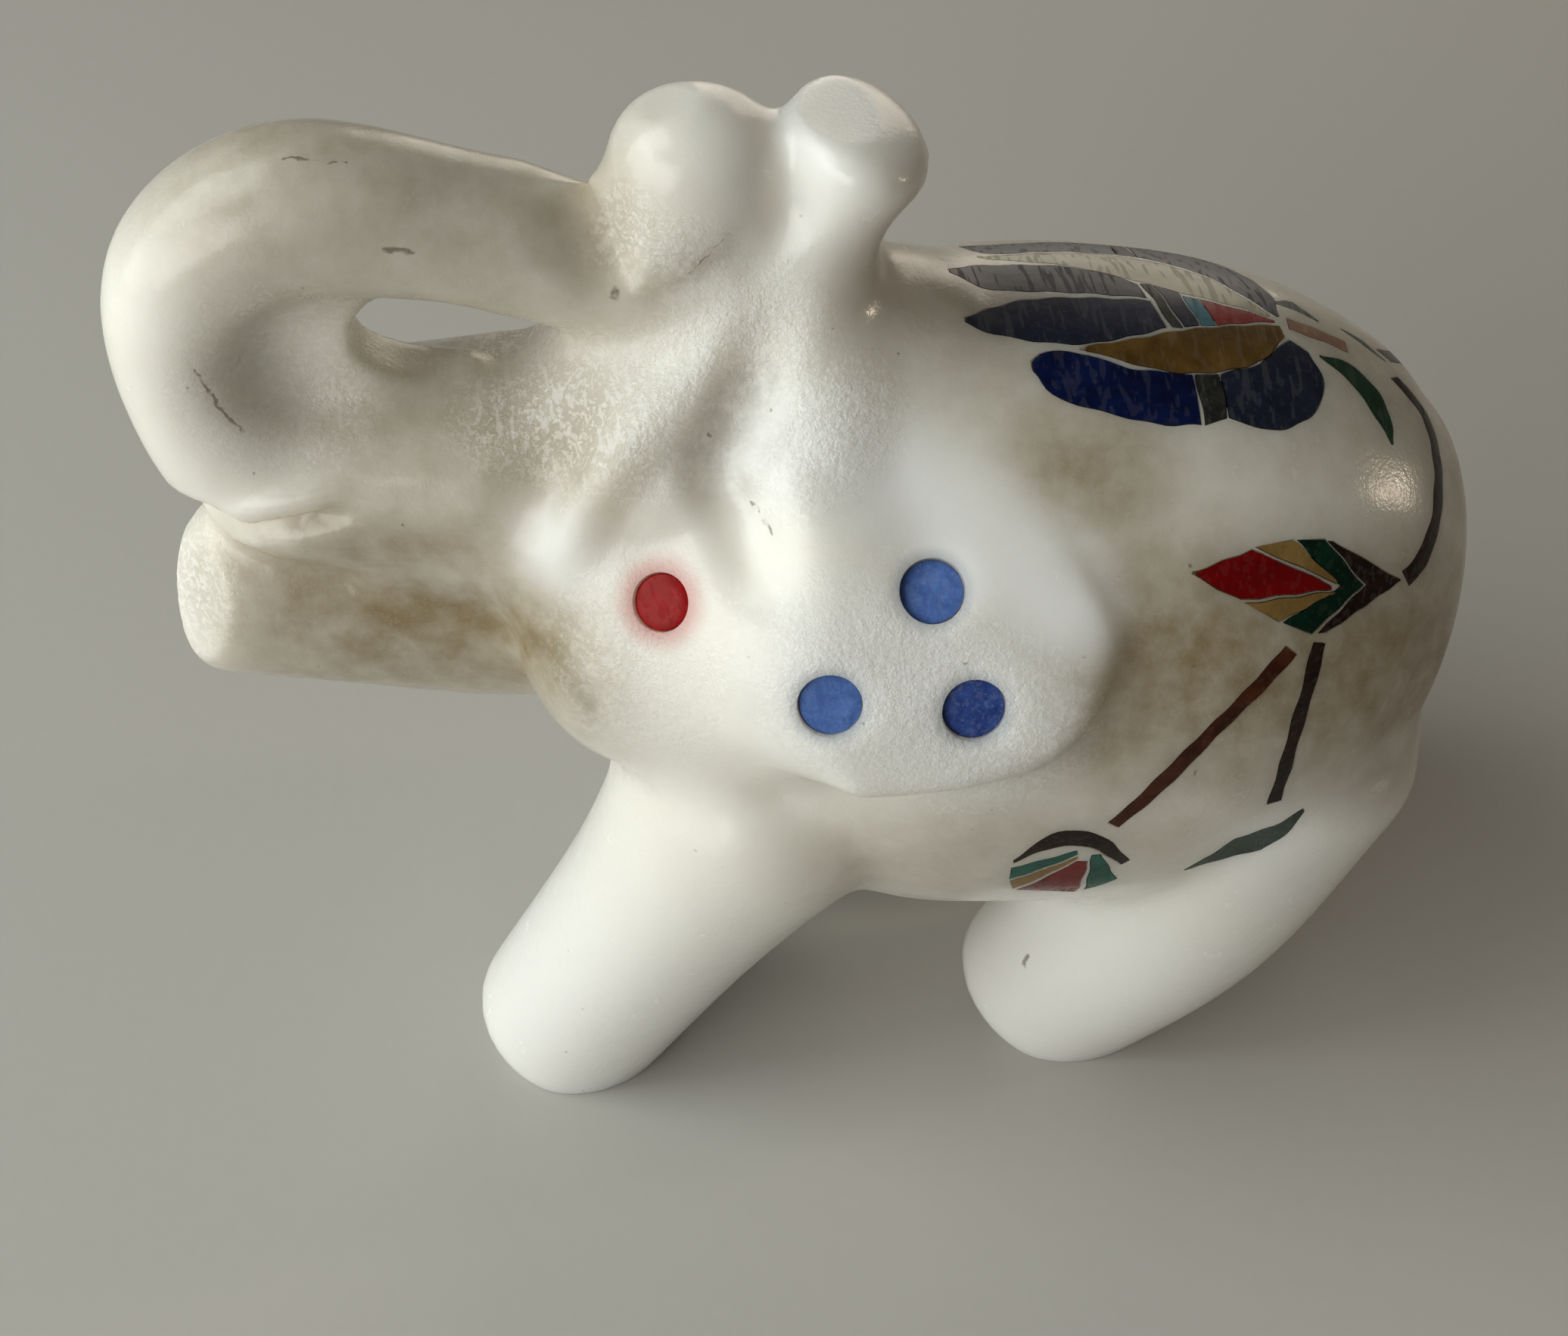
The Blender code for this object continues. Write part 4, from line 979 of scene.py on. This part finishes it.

# Wear, tint, and painted light and shade, painted on the marble's points: path, radius, strength, and whether it is on
# both sides

wearTintAndLight = {
    # tan: partly the aged tone, partly painted shade on the tops, the jaw and the flank behind the ear
    "tan": [
        ([(-25, 0, 60), (-12, 0, 57)], 10, 0.7, False), ([(-25, -1, 51)], 9, 0.15, True),
        ([(-20, -4, 46), (-12, -5, 45)], 9, 0.65, True), ([(-25, -2, 35), (-15, -5, 35)], 11, 1, True),
        ([(-23, -5.4, 41), (-17, -6, 41.5)], 6.5, 0.8, True), ([(-14.4, -9.3, 37)], 8, 1, True),
        ([(14, 0, 51), (24, 0, 48), (34, 0, 40)], 17, 0.65, True),
        ([(14.5, -10, 48)], 8.5, 0.85, True), ([(16, -16, 39), (24, -14, 37), (33, -12, 34)], 12, 1, True),
        ([(5, -18, 26), (17, -18, 29)], 9, 0.5, True),
    ],
    # painted light: lighter and cooler where the window light falls
    "cool": [
        ([(2, -17, 40), (8, -17, 38)], 8, 1, True), ([(12, -15.6, 42.6), (5, -11, 47), (-0.7, -8.5, 48)], 5, 1, True),
        ([(-12, -9, 6)], 24, 0.9, True), ([(20, -9, 8)], 20, 0.9, True), ([(28, -16, 23)], 9, 0.6, True),
        ([(2, -2, 61)], 8, 0.7, True), ([(-12.5, -9, 43)], 4, 0.8, True),
    ],
    "sugar": [
        ([(-14, -4, 49), (-8, -7, 49.5), (-2, -6, 53)], 5, 0.8, True), ([(-34, -2, 36)], 5, 0.9, True),
        ([(3, -17, 40), (8, -18, 37)], 7, 0.7, True), ([(0, -9, 48), (2, -8, 50)], 4, 0.9, True),
        ([(-26, -3, 51)], 7, 0.4, True), ([(-8, -12, 38)], 7, 0.4, True),
        ([(-5, -4, 57), (-8, -3, 58)], 3, 0.6, True),
    ],
    "grimeAndShade": [
        ([(-2.4, -6.6, 51), (-4.1, -8.1, 48.9), (-4.6, -8.9, 47.7), (-3.8, -10.1, 46.8), (-3.4, -12.3, 45.8)], 1.9,
         0.5, True),
        ([(-7, -4.3, 55.5), (-4, -4.3, 57)], 2.2, 0.3, True), ([(-27.5, -3.6, 51)], 4, 0.15, True),
        # painted shade in the jaw's fold and under the lip
        ([(-14.4, -9.8, 37.2), (-12.8, -12.2, 37.1), (-12, -13.1, 36.1), (-11.9, -12.9, 33.2)], 1.3, 0.3, True),
        ([(-23.4, -6.3, 43.9), (-27, -6, 42.5), (-31, -4.6, 41)], 0.9, 0.3, True),
    ],
}


def paintWearTintAndLight(mesh):
    points = vertexArray(mesh, "co") / mm
    folded = points * (1, -1, 1)
    for name, strokes in wearTintAndLight.items():
        value = np.zeros(len(points))
        for path, radius, strength, bothSides in strokes:
            near = distanceTo(points, path)
            if bothSides:
                near = np.minimum(near, distanceTo(folded, path))
            value = np.maximum(value, np.clip(1 - (near / radius) ** 2, 0, 1) ** 1.5 * strength)
        mesh.attributes.new(name, "FLOAT", "POINT").data.foreach_set("value", value)


paintWearTintAndLight(elephant.data)

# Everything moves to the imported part's place, and stays within its box


def settle(pieces, box):
    points = vertexArray(elephant.data, "co")
    low, high = points.min(axis=0), points.max(axis=0)
    wantedLow, wantedHigh = np.array(box)
    size = np.minimum((wantedHigh - wantedLow) / (high - low), 1)
    shift = (wantedLow + wantedHigh) / 2 - (low + high) / 2 * size
    shift[2] = wantedLow[2] - low[2] * size[2]
    print("settled by", np.round(shift / mm, 3), "and scaled by", np.round(size, 4))
    place = Matrix.Translation(Vector(shift)) @ Matrix.Diagonal((*size, 1))
    for piece in pieces:
        piece.data.transform(place)
    return place


place = settle([elephant, *setStones.values()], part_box("marble_elephant"))
eyeSpot = tuple(place @ (Vector(roundStones["eye"]) * mm))
dotSpots = [tuple(place @ (Vector(spot) * mm)) for spot in roundStones["dots"]]
elephant.data.materials.clear()
markLines = [(place @ start, place @ end, width) for start, end, width in markLines]
elephant.data.materials.append(marbleMaterial(marbleFinish, eyeSpot, dotSpots, markLines))
elephant.name = "marbleBody"
smoothWithSharpEdges(elephant, 50)
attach(elephant, "root")
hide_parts("marble_elephant")
for nodeName, piece in setStones.items():
    smoothWithSharpEdges(piece, 50)
    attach(piece, "root")
    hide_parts(nodeName)
print("pieces dressed")

# Floor and light

room = {
    "floor": (0.50, 0.49, 0.46),
    "floorSize": 3,  # metres
    "floorRoughness": 0.75,
    "ambient": (1.0, 0.93, 0.82),
    "ambientStrength": 0.08,
    "aim": (0, 0, 22),
    "lights": {
        "windowLow": {"at": (-450, -60, 190), "size": 340, "power": 0.92, "colour": (0.93, 0.97, 0.94)},
        "windowNear": {"at": (-330, -330, 190), "size": 300, "power": 0.95, "colour": (1, 0.97, 0.92)},
        "windowHigh": {"at": (-300, 0, 400), "size": 300, "power": 0.85, "colour": (0.92, 0.96, 0.92)},
        "roomBehind": {"at": (150, 480, 160), "size": 300, "power": 0.5, "colour": (1, 0.9, 0.76)},
        "lampBehind": {"at": (354, 18, 132), "size": 22, "power": 0.09, "colour": (1, 0.82, 0.62), "aim": (28, -9, 44)},
    },
}


def makeRoom(s):
    bm = bmesh.new()
    bmesh.ops.create_grid(bm, x_segments=1, y_segments=1, size=s["floorSize"] / 2)
    floor = fromBmesh("paleFloor", bm)
    floor.data.transform(Matrix.Translation((0, 0, -0.00002)))
    material, tree, shader = newMaterial("pale paper")
    place = objectPlace(tree)
    grain = cloud(tree, place, 900, 3)
    colour = blended(tree, grain, s["floor"], tuple(c * 0.96 for c in s["floor"]))
    tree.links.new(colour, shader.inputs["Base Color"])
    shader.inputs["Roughness"].default_value = s["floorRoughness"]
    floor.data.materials.append(material)
    world = bpy.data.worlds.new("room")
    world.use_nodes = True
    background = world.node_tree.nodes["Background"]
    background.inputs["Color"].default_value = (*s["ambient"], 1)
    background.inputs["Strength"].default_value = s["ambientStrength"]
    bpy.context.scene.world = world
    for name, l in s["lights"].items():
        lamp = bpy.data.lights.new(name, "AREA")
        lamp.size = l["size"] * mm
        lamp.energy = l["power"]
        lamp.color = l["colour"]
        lit = newObject(name, lamp)
        at, to = Vector(l["at"]) * mm, Vector(l.get("aim", s["aim"])) * mm
        lit.matrix_world = Matrix.Translation(at) @ (at - to).to_track_quat("Z", "Y").to_matrix().to_4x4()


makeRoom(room)
bpy.context.scene.view_settings.view_transform = "Standard"
print("room lit")
